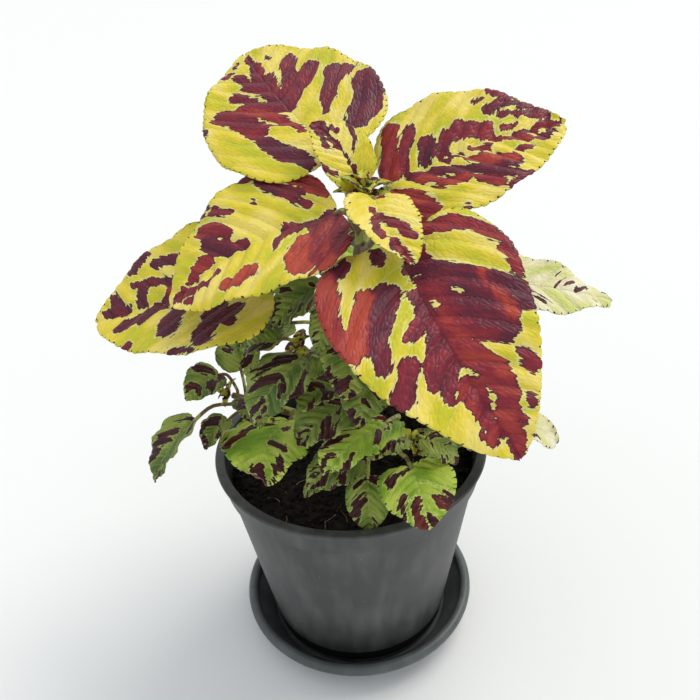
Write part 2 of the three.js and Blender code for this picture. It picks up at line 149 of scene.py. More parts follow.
def grown(piece: bpy.types.Object, tree: bpy.types.NodeTree, **values: object) -> bpy.types.Object:
    """Run a Geometry Nodes tree on a piece and leave a plain mesh.

    Args:
        piece: The object whose mesh goes into the tree.
        tree: The Geometry Nodes tree.
        values: The tree's inputs by name, with an underscore for each space.

    Returns:
        The same object, with the tree's result as its mesh and no modifier.
    """
    modifier = piece.modifiers.new("growth", "NODES")
    modifier.node_group = tree
    sockets = {s.name: s.identifier for s in tree.interface.items_tree if s.in_out == "INPUT"}
    for name, value in values.items():
        modifier[sockets[name.replace("_", " ")]] = value
    evaluated = piece.evaluated_get(bpy.context.evaluated_depsgraph_get())
    mesh = bpy.data.meshes.new_from_object(evaluated)
    piece.modifiers.clear()
    piece.data = mesh
    return piece


def geometry_tree(name: str, **inputs: str) -> tuple[bpy.types.NodeTree, bpy.types.Node, bpy.types.Node]:
    """Start a Geometry Nodes tree.

    Args:
        name: The tree's name.
        inputs: The socket type of each named input, with an underscore for each space.

    Returns:
        The tree, its input node and its output node.
    """
    tree = bpy.data.node_groups.new(name, "GeometryNodeTree")
    tree.interface.new_socket("Geometry", in_out="INPUT", socket_type="NodeSocketGeometry")
    for title, kind in inputs.items():
        tree.interface.new_socket(title.replace("_", " "), in_out="INPUT", socket_type=kind)
    tree.interface.new_socket("Geometry", in_out="OUTPUT", socket_type="NodeSocketGeometry")
    return tree, tree.nodes.new("NodeGroupInput"), tree.nodes.new("NodeGroupOutput")


def value_noise(x: np.ndarray, y: np.ndarray, seed: int) -> np.ndarray:
    """Give smooth noise between -1 and 1, with about one swell a unit.

    Args:
        x: First coordinates.
        y: Second coordinates, of the same shape.
        seed: Which noise.

    Returns:
        The noise at each place.
    """
    column, row = np.floor(x), np.floor(y)
    across, down = x - column, y - row
    across, down = (t * t * (3 - 2 * t) for t in (across, down))

    def corner(right: int, under: int) -> np.ndarray:
        """Give the lattice's own value at a corner of each place's cell."""
        raw = np.sin((column + right) * 127.1 + (row + under) * 311.7 + seed * 74.7) * 43758.5453
        return 2 * (raw - np.floor(raw)) - 1

    near = corner(0, 0) * (1 - across) + corner(1, 0) * across
    far = corner(0, 1) * (1 - across) + corner(1, 1) * across
    return near * (1 - down) + far * down


def smoothstep(low: float, high: float, x: np.ndarray) -> np.ndarray:
    """Rise smoothly from 0 at low to 1 at high."""
    t = np.clip((x - low) / (high - low), 0, 1)
    return t * t * (3 - 2 * t)


def grid_faces(rows: int, columns: int, start: int = 0, turned: bool = False) -> list:
    """Number the faces of a grid of corners.

    Args:
        rows: Corners along the grid.
        columns: Corners across it.
        start: The number of its first corner.
        turned: Whether the faces point the other way.

    Returns:
        Four corner numbers for each face.
    """
    first = start + np.arange(rows - 1)[:, None] * columns + np.arange(columns - 1)[None, :]
    corners = [first, first + 1, first + columns + 1, first + columns]
    if turned:
        corners.reverse()
    return np.stack(corners, axis=-1).reshape(-1, 4).tolist()


def lathe(profile: list[tuple[float, float]], steps: int) -> tuple[np.ndarray, list]:
    """Turn a closed profile about the vertical axis.

    Args:
        profile: Radius and height of each point, starting and ending on the axis, from the underside
            outwards and up.
        steps: Facets round the axis.

    Returns:
        The corners and the faces, pointing out.
    """
    angle = np.arange(steps) * 2 * np.pi / steps
    rings = [np.stack([r * np.cos(angle), r * np.sin(angle), np.full(steps, z)], axis=1)
             for r, z in profile[1:-1]]
    points = np.concatenate([*rings, [[0, 0, profile[0][1]], [0, 0, profile[-1][1]]]])
    faces = []
    for ring in range(len(rings) - 1):
        for k in range(steps):
            after = (k + 1) % steps
            low, high = ring * steps, (ring + 1) * steps
            faces.append([low + k, low + after, high + after, high + k])
    bottom, top = len(points) - 2, len(points) - 1
    last = (len(rings) - 1) * steps
    for k in range(steps):
        after = (k + 1) % steps
        faces.append([after, k, bottom])
        faces.append([last + k, last + after, top])
    return points, faces


def arc(centre: tuple[float, float], radius: float, start: float, end: float, steps: int = 6) -> list:
    """Give the points of an arc in a profile, from one angle to another in degrees."""
    angles = [math.radians(start + (end - start) * i / steps) for i in range(steps + 1)]
    return [(centre[0] + radius * math.cos(a), centre[1] + radius * math.sin(a)) for a in angles]


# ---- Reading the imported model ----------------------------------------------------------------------


def solid_of(node: str) -> tuple[np.ndarray, np.ndarray]:
    """Read a CAD node with each corner held once.

    Args:
        node: The node's name.

    Returns:
        Its corners in millimetres and its triangles.
    """
    mesh = frame["nodes"][node].data
    loose = np.empty(len(mesh.vertices) * 3)
    mesh.vertices.foreach_get("co", loose)
    loose = loose.reshape(-1, 3) / MM
    _, first, corner = np.unique(np.round(loose, 3), axis=0, return_index=True, return_inverse=True)
    mesh.calc_loop_triangles()
    triangles = np.empty(len(mesh.loop_triangles) * 3, int)
    mesh.loop_triangles.foreach_get("vertices", triangles)
    return loose[first], corner.reshape(-1)[triangles].reshape(-1, 3)


def sections_of(node: str) -> tuple[np.ndarray, np.ndarray]:
    """Read the sections that a CAD leaf was drawn over.

    Each section has eight points: left edge, three on the upper side, right edge, three on the lower side.
    The tip is the one corner with eight neighbours and the middle of the first section's upper side the
    one with nine, so the sections can be followed from one to the other.

    Args:
        node: The leaf's name.

    Returns:
        The sections from the stem outwards, and the tip.
    """
    points, triangles = solid_of(node)
    beside = [set() for _ in points]
    third = {}
    for a, b, c in triangles.tolist():
        for x, y, z in ((a, b, c), (b, c, a), (c, a, b)):
            beside[x].add(y)
            beside[y].add(x)
            third[(x, y)] = z
    tip = next(i for i, near in enumerate(beside) if len(near) == 8)
    upper_middle = next(i for i, near in enumerate(beside) if len(near) == 9)
    level = {tip: 0}
    front = [tip]
    while front:
        reached = [w for v in front for w in beside[v] if w not in level]
        front = []
        for w in reached:
            if w not in level:
                level[w] = 1 + min(level[v] for v in beside[w] if v in level)
                front.append(w)
    depth = level[upper_middle]
    ring = [upper_middle]
    while len(ring) < 8:
        last = ring[-1]
        ring.append(next(x for x in beside[last] if level[x] == depth and x not in ring
                         and level[third[(last, x)]] == depth - 1))
    rings = [ring[-2:] + ring[:-2]]
    for d in range(depth - 1, 0, -1):
        inner = rings[-1]
        rings.append([next(x for x in beside[inner[j - 1]] & beside[inner[j]] if level[x] == d)
                      for j in range(8)])
    return points[np.array(rings)], points[tip]


def centre_line(node: str, count: int, margin: float = 1.4) -> tuple[np.ndarray, np.ndarray]:
    """Find a CAD stem's centre line by cutting it across.

    Args:
        node: The stem's name.
        count: How many cuts.
        margin: How far the first and last cuts lie from its ends.

    Returns:
        The centre of each cut from the foot up, and each cut's mean radius.
    """
    points, triangles = solid_of(node)
    middle = points.mean(axis=0)
    axis = np.linalg.svd(points - middle)[2][0]
    axis = axis * np.sign(axis[2])
    along = (points - middle) @ axis
    centres, radii = [], []
    for cut in np.linspace(along.min() + margin, along.max() - margin, count):
        crossings = []
        for a, b in ((0, 1), (1, 2), (2, 0)):
            p, q = triangles[:, a], triangles[:, b]
            crossed = (along[p] < cut) & (along[q] >= cut)
            share = ((cut - along[p]) / (along[q] - along[p] + 1e-12))[crossed, None]
            crossings.append(points[p[crossed]] * (1 - share) + points[q[crossed]] * share)
        found = np.concatenate(crossings)
        centres.append((found.min(axis=0) + found.max(axis=0)) / 2)
        radii.append(np.linalg.norm(found - centres[-1], axis=1).mean())
    return np.array(centres), np.array(radii)


# ---- Finishes --------------------------------------------------------------------------------------


@dataclass(frozen=True)
class LeafSkin:
    """Skin of a coleus leaf: soft and finely haired, with blotches that break off along the veins.

    The ground pales from deep to middle to pale as its green gives way. The blotches run from plum through
    wine to flame with the "tone" attribute; "blotch" holds how far inside one each place lies, in mm.
    """

    name: str
    ground: tuple[str, str, str]
    blotch: tuple[str, str, str]
    outline: str = "#3a1118"
    rim: str = "#efe79a"
    vein: str = "#e9e585"
    roughness: float = 0.52
    ragged: float = 4.6  # how far, in mm, the fine raggedness moves a blotch's edge
    flecks: float = 0.0  # how easily small flecks come up away from the blotches, from 0 to 1

    def material(self) -> bpy.types.Material:
        """Make the material: hard-edged colour, a dark line inside each blotch and a pale one outside."""
        material, tree = new_material(self.name)
        uv = add(tree, "ShaderNodeUVMap", uv_map="veins_mm")
        place = add(tree, "ShaderNodeSeparateXYZ", {0: uv})
        step = add(tree, "ShaderNodeAttribute", attribute_name="vein_step").outputs["Fac"]
        inside = add(tree, "ShaderNodeAttribute", attribute_name="blotch").outputs["Fac"]
        tone = add(tree, "ShaderNodeAttribute", attribute_name="tone").outputs["Fac"]
        margin = add(tree, "ShaderNodeAttribute", attribute_name="margin").outputs["Fac"]
        notch = add(tree, "ShaderNodeAttribute", attribute_name="notch").outputs["Fac"]

        # Brush strokes 2 mm wide and three times as long, laid along the side veins, and swells of 9 mm.
        strokes = add(tree, "ShaderNodeMapping", {0: uv, "Scale": (1, 0.34, 1)})
        fine = add(tree, "ShaderNodeTexNoise", {0: strokes, "Scale": 1 / 2.1, "Detail": 3.0,
                                                "Roughness": 0.62}, noise_dimensions="2D")
        swell = add(tree, "ShaderNodeTexNoise", {0: uv, "Scale": 1 / 9, "Detail": 1.0}, noise_dimensions="2D")
        shift = add(tree, "ShaderNodeMath", {0: fine, 1: -0.5}, operation="ADD")
        shift = add(tree, "ShaderNodeMath", {0: shift, 1: self.ragged, 2: inside}, operation="MULTIPLY_ADD")
        sway = add(tree, "ShaderNodeMath", {0: swell, 1: -0.5}, operation="ADD")
        depth = add(tree, "ShaderNodeMath", {0: sway, 1: 4.0, 2: shift}, operation="MULTIPLY_ADD")
        if self.flecks > 0:
            fleck = add(tree, "ShaderNodeTexNoise", {0: strokes, "Scale": 1 / 4.2, "Detail": 2.0},
                        noise_dimensions="2D")
            fleck = add(tree, "ShaderNodeMapRange", {0: fleck, 1: 0.74 - 0.14 * self.flecks, 2: 0.86,
                                                     3: -3.0, 4: 3.0})
            depth = add(tree, "ShaderNodeMath", {0: depth, 1: fleck}, operation="MAXIMUM")

        # Dark spots in the notches between the teeth of the margin.
        notched = add(tree, "ShaderNodeMath", {0: fine, 1: notch}, operation="SUBTRACT")
        near = add(tree, "ShaderNodeMapRange", {0: margin, 1: 0.6, 2: 1.9, 3: 0.3, 4: -0.6})
        spot = add(tree, "ShaderNodeMath", {0: notched, 1: near}, operation="ADD")
        spot = add(tree, "ShaderNodeMapRange", {0: spot, 1: 0.22, 2: 0.28})

        mask = add(tree, "ShaderNodeMapRange", {0: depth, 1: -0.09, 2: 0.09})
        line = add(tree, "ShaderNodeMapRange", {0: depth, 1: 0.2, 2: 0.75, 3: 0.85, 4: 0.0})
        halo = add(tree, "ShaderNodeMapRange", {0: depth, 1: -1.1, 2: -0.25, 3: 0.0, 4: 0.75})

        # Side veins lie one vein step apart along the midrib.
        half_step = add(tree, "ShaderNodeMath", {0: step, 1: 0.5}, operation="MULTIPLY")
        off_vein = add(tree, "ShaderNodeMath", {0: place.outputs[0], 1: half_step}, operation="PINGPONG")
        side_vein = add(tree, "ShaderNodeMapRange", {0: off_vein, 1: 0.12, 2: 0.62, 3: 0.8, 4: 0.0})
        off_rib = add(tree, "ShaderNodeMath", {0: place.outputs[1]}, operation="ABSOLUTE")
        rib = add(tree, "ShaderNodeMapRange", {0: off_rib, 1: 0.3, 2: 0.8, 3: 1.0, 4: 0.0})
        veins = add(tree, "ShaderNodeMath", {0: side_vein, 1: rib}, operation="MAXIMUM")

        patchy = add(tree, "ShaderNodeTexNoise", {0: uv, "Scale": 1 / 17, "Detail": 2.5},
                     noise_dimensions="2D")
        ground = add(tree, "ShaderNodeValToRGB", {0: patchy},
                     stops={0.36: self.ground[0], 0.5: self.ground[1], 0.64: self.ground[2]})
        faint = add(tree, "ShaderNodeMath", {0: veins, 1: 0.45}, operation="MULTIPLY")
        ground = add(tree, "ShaderNodeMix", {0: faint, 6: ground, 7: linear(self.vein)}, data_type="RGBA")
        ground = add(tree, "ShaderNodeMix", {0: halo, 6: ground.outputs[2], 7: linear(self.rim)},
                     data_type="RGBA")

        streaky = add(tree, "ShaderNodeMath", {0: swell, 1: fine}, operation="ADD")
        streaky = add(tree, "ShaderNodeMapRange", {0: streaky, 1: 0.6, 2: 1.4, 3: -0.28, 4: 0.28})
        hue = add(tree, "ShaderNodeMath", {0: streaky, 1: tone}, operation="ADD")
        colour = add(tree, "ShaderNodeValToRGB", {0: hue},
                     stops={0.05: self.blotch[0], 0.5: self.blotch[1], 0.95: self.blotch[2]})
        dim = add(tree, "ShaderNodeMath", {0: veins, 1: 0.22}, operation="MULTIPLY")
        colour = add(tree, "ShaderNodeMix", {0: dim, 6: colour, 7: linear(self.outline)}, data_type="RGBA")
        colour = add(tree, "ShaderNodeMix", {0: line, 6: colour.outputs[2], 7: linear(self.outline)},
                     data_type="RGBA")
        skin = add(tree, "ShaderNodeMix", {0: mask, 6: ground.outputs[2], 7: colour.outputs[2]},
                   data_type="RGBA")
        skin = add(tree, "ShaderNodeMix", {0: spot, 6: skin.outputs[2], 7: linear(self.outline)},
                   data_type="RGBA")

        # Net veins fence the skin into cells 2.4 mm across, each slightly puffed up.
        net = add(tree, "ShaderNodeTexVoronoi", {0: uv, "Scale": 1 / 2.4}, voronoi_dimensions="2D",
                  feature="DISTANCE_TO_EDGE")
        puff = add(tree, "ShaderNodeMapRange", {0: net, 1: 0.0, 2: 0.3})
        sunk = add(tree, "ShaderNodeMath", {0: veins, 1: -1.2, 2: puff}, operation="MULTIPLY_ADD")
        bump = add(tree, "ShaderNodeBump", {"Strength": 0.5, "Distance": 0.35 * MM, "Height": sunk})
        shine = add(tree, "ShaderNodeMapRange", {0: mask, 3: self.roughness, 4: self.roughness - 0.08})
        shader = add(tree, "ShaderNodeBsdfPrincipled", {
            "Base Color": skin.outputs[2], "Roughness": shine, "Normal": bump,
            "Specular IOR Level": 0.32, "Sheen Weight": 0.06, "Sheen Roughness": 0.4})
        add(tree, "ShaderNodeOutputMaterial", {0: shader})
        return material


@dataclass(frozen=True)
class YoungStem:
    """Skin of a soft young stem or petiole: green, flushed with maroon in streaks along it."""

    name: str
    green: str = "#8f9a3c"
    pale: str = "#b9bb62"
    flush: str = "#5d2a2b"
    flushed: float = 0.5  # the share of the noise above which the flush shows

    def material(self) -> bpy.types.Material:
        """Make the material: a low sheen over streaks about 2 mm wide."""
        material, tree = new_material(self.name)
        place = add(tree, "ShaderNodeTexCoord").outputs["Object"]
        streaks = add(tree, "ShaderNodeMapping", {0: place, "Scale": (1, 1, 0.25)})
        grain = add(tree, "ShaderNodeTexNoise", {0: streaks, "Scale": 1 / (2.0 * MM), "Detail": 3.0})
        broad = add(tree, "ShaderNodeTexNoise", {0: place, "Scale": 1 / (11 * MM), "Detail": 2.0})
        green = add(tree, "ShaderNodeValToRGB", {0: grain}, stops={0.35: self.green, 0.7: self.pale})
        both = add(tree, "ShaderNodeMath", {0: grain, 1: 0.35, 2: broad}, operation="MULTIPLY_ADD")
        flush = add(tree, "ShaderNodeMapRange", {0: both, 1: self.flushed + 0.17, 2: self.flushed + 0.23,
                                                 4: 0.85})
        skin = add(tree, "ShaderNodeMix", {0: flush, 6: green, 7: linear(self.flush)}, data_type="RGBA")
        bump = add(tree, "ShaderNodeBump", {"Strength": 0.35, "Distance": 0.3 * MM, "Height": grain})
        shader = add(tree, "ShaderNodeBsdfPrincipled", {
            "Base Color": skin.outputs[2], "Roughness": 0.5, "Normal": bump, "Sheen Weight": 0.1})
        add(tree, "ShaderNodeOutputMaterial", {0: shader})
        return material


@dataclass(frozen=True)
class LeafletSkin:
    """Skin of the unopened leaflets at a growing tip: the leaf's colours in flecks 2 to 3 mm across."""

    name: str
    ground: tuple[str, str]
    fleck: tuple[str, str]
    share: float = 0.5  # noise above which a fleck shows

    def material(self) -> bpy.types.Material:
        """Make the material: hard-edged flecks on a matt, wrinkled skin."""
        material, tree = new_material(self.name)
        place = add(tree, "ShaderNodeTexCoord").outputs["Object"]
        mottle = add(tree, "ShaderNodeTexNoise", {0: place, "Scale": 1 / (3.2 * MM), "Detail": 2.5})
        tint = add(tree, "ShaderNodeTexNoise", {0: place, "Scale": 1 / (6 * MM), "Detail": 1.0})
        ground = add(tree, "ShaderNodeValToRGB", {0: tint}, stops={0.4: self.ground[0], 0.6: self.ground[1]})
        fleck = add(tree, "ShaderNodeValToRGB", {0: tint}, stops={0.4: self.fleck[0], 0.6: self.fleck[1]})
        mask = add(tree, "ShaderNodeMapRange", {0: mottle, 1: self.share, 2: self.share + 0.025})
        skin = add(tree, "ShaderNodeMix", {0: mask, 6: ground, 7: fleck}, data_type="RGBA")
        wrinkle = add(tree, "ShaderNodeTexNoise", {0: place, "Scale": 1 / (0.8 * MM), "Detail": 2.0})
        bump = add(tree, "ShaderNodeBump", {"Strength": 0.5, "Distance": 0.3 * MM, "Height": wrinkle})
        shader = add(tree, "ShaderNodeBsdfPrincipled", {
            "Base Color": skin.outputs[2], "Roughness": 0.55, "Normal": bump, "Sheen Weight": 0.1})
        add(tree, "ShaderNodeOutputMaterial", {0: shader})
        return material


@dataclass(frozen=True)
class MouldedPolypropylene:
    """Injection-moulded polypropylene with carbon black: matt, with a fine spark-eroded grain."""

    name: str
    colour: str
    dusty: str
    roughness: float
    specks: float = 0.5  # how strongly grit and scuffs show

    def material(self) -> bpy.types.Material:
        """Make the material: low broad gloss, faint upright streaks of dried water, pale specks."""
        material, tree = new_material(self.name)
        place = add(tree, "ShaderNodeTexCoord").outputs["Object"]
        upright = add(tree, "ShaderNodeMapping", {0: place, "Scale": (1, 1, 0.16)})
        streaks = add(tree, "ShaderNodeTexNoise", {0: upright, "Scale": 1 / (7 * MM), "Detail": 4.0})
        cloud = add(tree, "ShaderNodeTexNoise", {0: place, "Scale": 1 / (30 * MM), "Detail": 2.0})
        film = add(tree, "ShaderNodeMath", {0: streaks, 1: cloud}, operation="MULTIPLY")
        film = add(tree, "ShaderNodeMapRange", {0: film, 1: 0.18, 2: 0.42, 4: 0.75})
        skin = add(tree, "ShaderNodeMix", {0: film, 6: linear(self.colour), 7: linear(self.dusty)},
                   data_type="RGBA")
        grit = add(tree, "ShaderNodeTexVoronoi", {0: place, "Scale": 1 / (6.5 * MM)})
        speck = add(tree, "ShaderNodeMapRange", {0: grit, 1: 0.05, 2: 0.03, 4: self.specks})
        skin = add(tree, "ShaderNodeMix", {0: speck, 6: skin.outputs[2], 7: linear("#a9a69c")},
                   data_type="RGBA")
        grain = add(tree, "ShaderNodeTexNoise", {0: place, "Scale": 1 / (0.45 * MM), "Detail": 1.0})
        height = add(tree, "ShaderNodeMath", {0: speck, 1: 1.5, 2: grain}, operation="MULTIPLY_ADD")
        bump = add(tree, "ShaderNodeBump", {"Strength": 0.22, "Distance": 0.12 * MM, "Height": height})
        rough = add(tree, "ShaderNodeMapRange", {0: film, 3: self.roughness, 4: self.roughness + 0.12})
        shader = add(tree, "ShaderNodeBsdfPrincipled", {
            "Base Color": skin.outputs[2], "Roughness": rough, "Normal": bump, "IOR": 1.49})
        add(tree, "ShaderNodeOutputMaterial", {0: shader})
        return material


@dataclass(frozen=True)
class PottingMix:
    """Damp peat and composted bark: nearly black, with browner crumbs."""

    name: str
    wet: str = "#0e0b09"
    crumb: str = "#1d1713"
    dry: str = "#3a2d22"

    def material(self) -> bpy.types.Material:
        """Make the material: crumbs of differing brown, 3 mm across, with a grainy matt surface."""
        material, tree = new_material(self.name)
        place = add(tree, "ShaderNodeTexCoord").outputs["Object"]
        lumps = add(tree, "ShaderNodeTexNoise", {0: place, "Scale": 1 / (3 * MM), "Detail": 4.0,
                                                 "Roughness": 0.7})
        skin = add(tree, "ShaderNodeValToRGB", {0: lumps},
                   stops={0.38: self.wet, 0.55: self.crumb, 0.74: self.dry})
        bump = add(tree, "ShaderNodeBump", {"Strength": 0.8, "Distance": 0.6 * MM, "Height": lumps})
        shader = add(tree, "ShaderNodeBsdfPrincipled", {
            "Base Color": skin, "Roughness": 0.9, "Normal": bump, "Specular IOR Level": 0.25})
        add(tree, "ShaderNodeOutputMaterial", {0: shader})
        return material


@dataclass(frozen=True)
class DryFibre:
    """Coir and bark fibres lying on the potting mix: dull straw brown."""

    name: str = "coir_fibre"
    dark: str = "#4b3a2a"
    pale: str = "#9b8a6a"

    def material(self) -> bpy.types.Material:
        """Make the material: matt, each fibre paler or darker along its length."""
        material, tree = new_material(self.name)
        place = add(tree, "ShaderNodeTexCoord").outputs["Object"]
        shade = add(tree, "ShaderNodeTexNoise", {0: place, "Scale": 1 / (8 * MM), "Detail": 2.0})
        skin = add(tree, "ShaderNodeValToRGB", {0: shade}, stops={0.4: self.dark, 0.65: self.pale})
        shader = add(tree, "ShaderNodeBsdfPrincipled", {"Base Color": skin, "Roughness": 0.8})
        add(tree, "ShaderNodeOutputMaterial", {0: shader})
        return material


class Skin(Enum):
    """The colourings that the leaves take by age; the olive skin is the lime one darker, painted shade for
    the leaves that get less light.
    """

    BRIGHT = LeafSkin("coleus_leaf_yellow", ("#ccc829", "#e7d235", "#f5df6e"),
                      ("#5c1c31", "#8c2230", "#b8442f"), ragged=4.6)
    LIME = LeafSkin("coleus_leaf_lime", ("#7da32a", "#9fc236", "#c2d552"),
                    ("#3a1119", "#511a20", "#742a24"), rim="#d6e27a", vein="#c9dc74")
    # Painted shade: the lime skin darkened, for the leaves that lie in the shade of others.
    OLIVE_PAINTED_SHADE = LeafSkin("coleus_leaf_olive_painted_shade", ("#50692a", "#748a34", "#98a646"),
                     ("#331019", "#471a20", "#5e2a24"), rim="#a9b764", vein="#a3b35c")
    CREAM = LeafSkin("coleus_leaf_cream", ("#cfd873", "#ece6b0", "#f4efcf"),
                     ("#4a1822", "#7a2430", "#a4402f"), rim="#f6f0d2", vein="#f3efc4", flecks=1.0)
    PALE = LeafSkin("coleus_leaf_underside", ("#8f9f4e", "#a9b262", "#bcbf78"),
                    ("#6d4048", "#84505a", "#965f58"), outline="#5e3c40", rim="#bdc083", vein="#cdd09a",
                    roughness=0.62)


# ---- Leaves ----------------------------------------------------------------------------------------


@dataclass(frozen=True)
class Stroke:
    """One blotch on a blade: a brush stroke through places (share of length, share of half width)."""

    path: tuple[tuple[float, float], ...]
    start: float  # half width of the stroke at its start, in mm
    end: float
    tone: float = 0.3  # 0 plum, 0.5 wine, 1 flame


@dataclass(frozen=True)
class LeafLook:
    """How one leaf is coloured and creased beyond the shape that its CAD solid gives."""

    skin: Skin
    strokes: tuple[Stroke, ...] = ()
    seed: int = 0
    random: int = 0  # how many strokes the seed lays along the side veins
    bold: float = 1.0  # how wide they are
    wave: float = 0.05  # how far the margin waves up and down, as a share of the half width
    tone: float = 0.25  # mean tone of the seeded strokes


@dataclass(frozen=True)
class BladeForm:
    """The shape of one leaf, measured on its CAD solid."""

    base: np.ndarray
    length: float
    half: float
    along: np.ndarray
    right: np.ndarray
    up: np.ndarray
    rise: float
    taper: float
    fold: float
    curl: float
    arch: float
    sway: float
    lobe: float
    petiole: np.ndarray
    petiole_radius: float

    @classmethod
    def of(cls, node: str) -> "BladeForm":
        """Measure the CAD leaf with this name.

        Args:
            node: The leaf's name.

        Returns:
            Its form.
        """
        rings, tip = sections_of(node)
        stalk = 3 if len(rings) == 12 else 2
        base = rings[stalk].mean(axis=0)
        length = float(np.linalg.norm(tip - base))
        along = (tip - base) / length
        blade = rings[stalk + 1:]
        middle = (blade[:, 2] + blade[:, 6]) / 2
        across = blade[:, 4] - blade[:, 0]
        half = np.linalg.norm(across, axis=1) / 2
        right = across[half.argmax()] / np.linalg.norm(across[half.argmax()])
        up = np.cross(right, along)
        u = (middle - base) @ along / length
        terms = np.stack([np.ones_like(u), np.log(u), np.log(1 - u)], axis=1)
        (scale, rise, taper), *_ = np.linalg.lstsq(terms, np.log(half), rcond=None)
        peak = rise / (rise + taper)
        widest = math.exp(scale) * peak ** rise * (1 - peak) ** taper
        edge = float(np.median((blade[:, 4] - middle) @ up / half))
        quarter = float(np.median(((blade[:, 3] + blade[:, 5]) / 2 - middle) @ up / half))
        bow = np.sin(np.pi * u)
        offset = middle - base
        return cls(
            base, length, widest, along, right, up, float(rise), float(taper),
            fold=4 * quarter - edge,
            curl=4 * quarter - 2 * edge,
            arch=float(np.median(offset @ up / bow)),
            sway=float(np.median(offset @ right / bow)),
            lobe=float(-(blade[0, 4] - middle[0]) @ along / half[0] / (1 - u[0]) ** 4),
            petiole=rings[:stalk + 1].mean(axis=1),
            petiole_radius=float(np.linalg.norm(rings[0, 0] - rings[0].mean(axis=0))),
        )

    def half_at(self, u: np.ndarray) -> np.ndarray:
        """Give the blade's half width at shares of its length."""
        peak = self.rise / (self.rise + self.taper)
        return self.half * (u / peak) ** self.rise * ((1 - u) / (1 - peak)) ** self.taper

    def margin(self, u: np.ndarray) -> np.ndarray:
        """Give the right margin, flat, as distances across and along from the base."""
        half = self.half_at(u)
        return np.stack([half, u * self.length - self.lobe * half * (1 - u) ** 4], axis=-1)


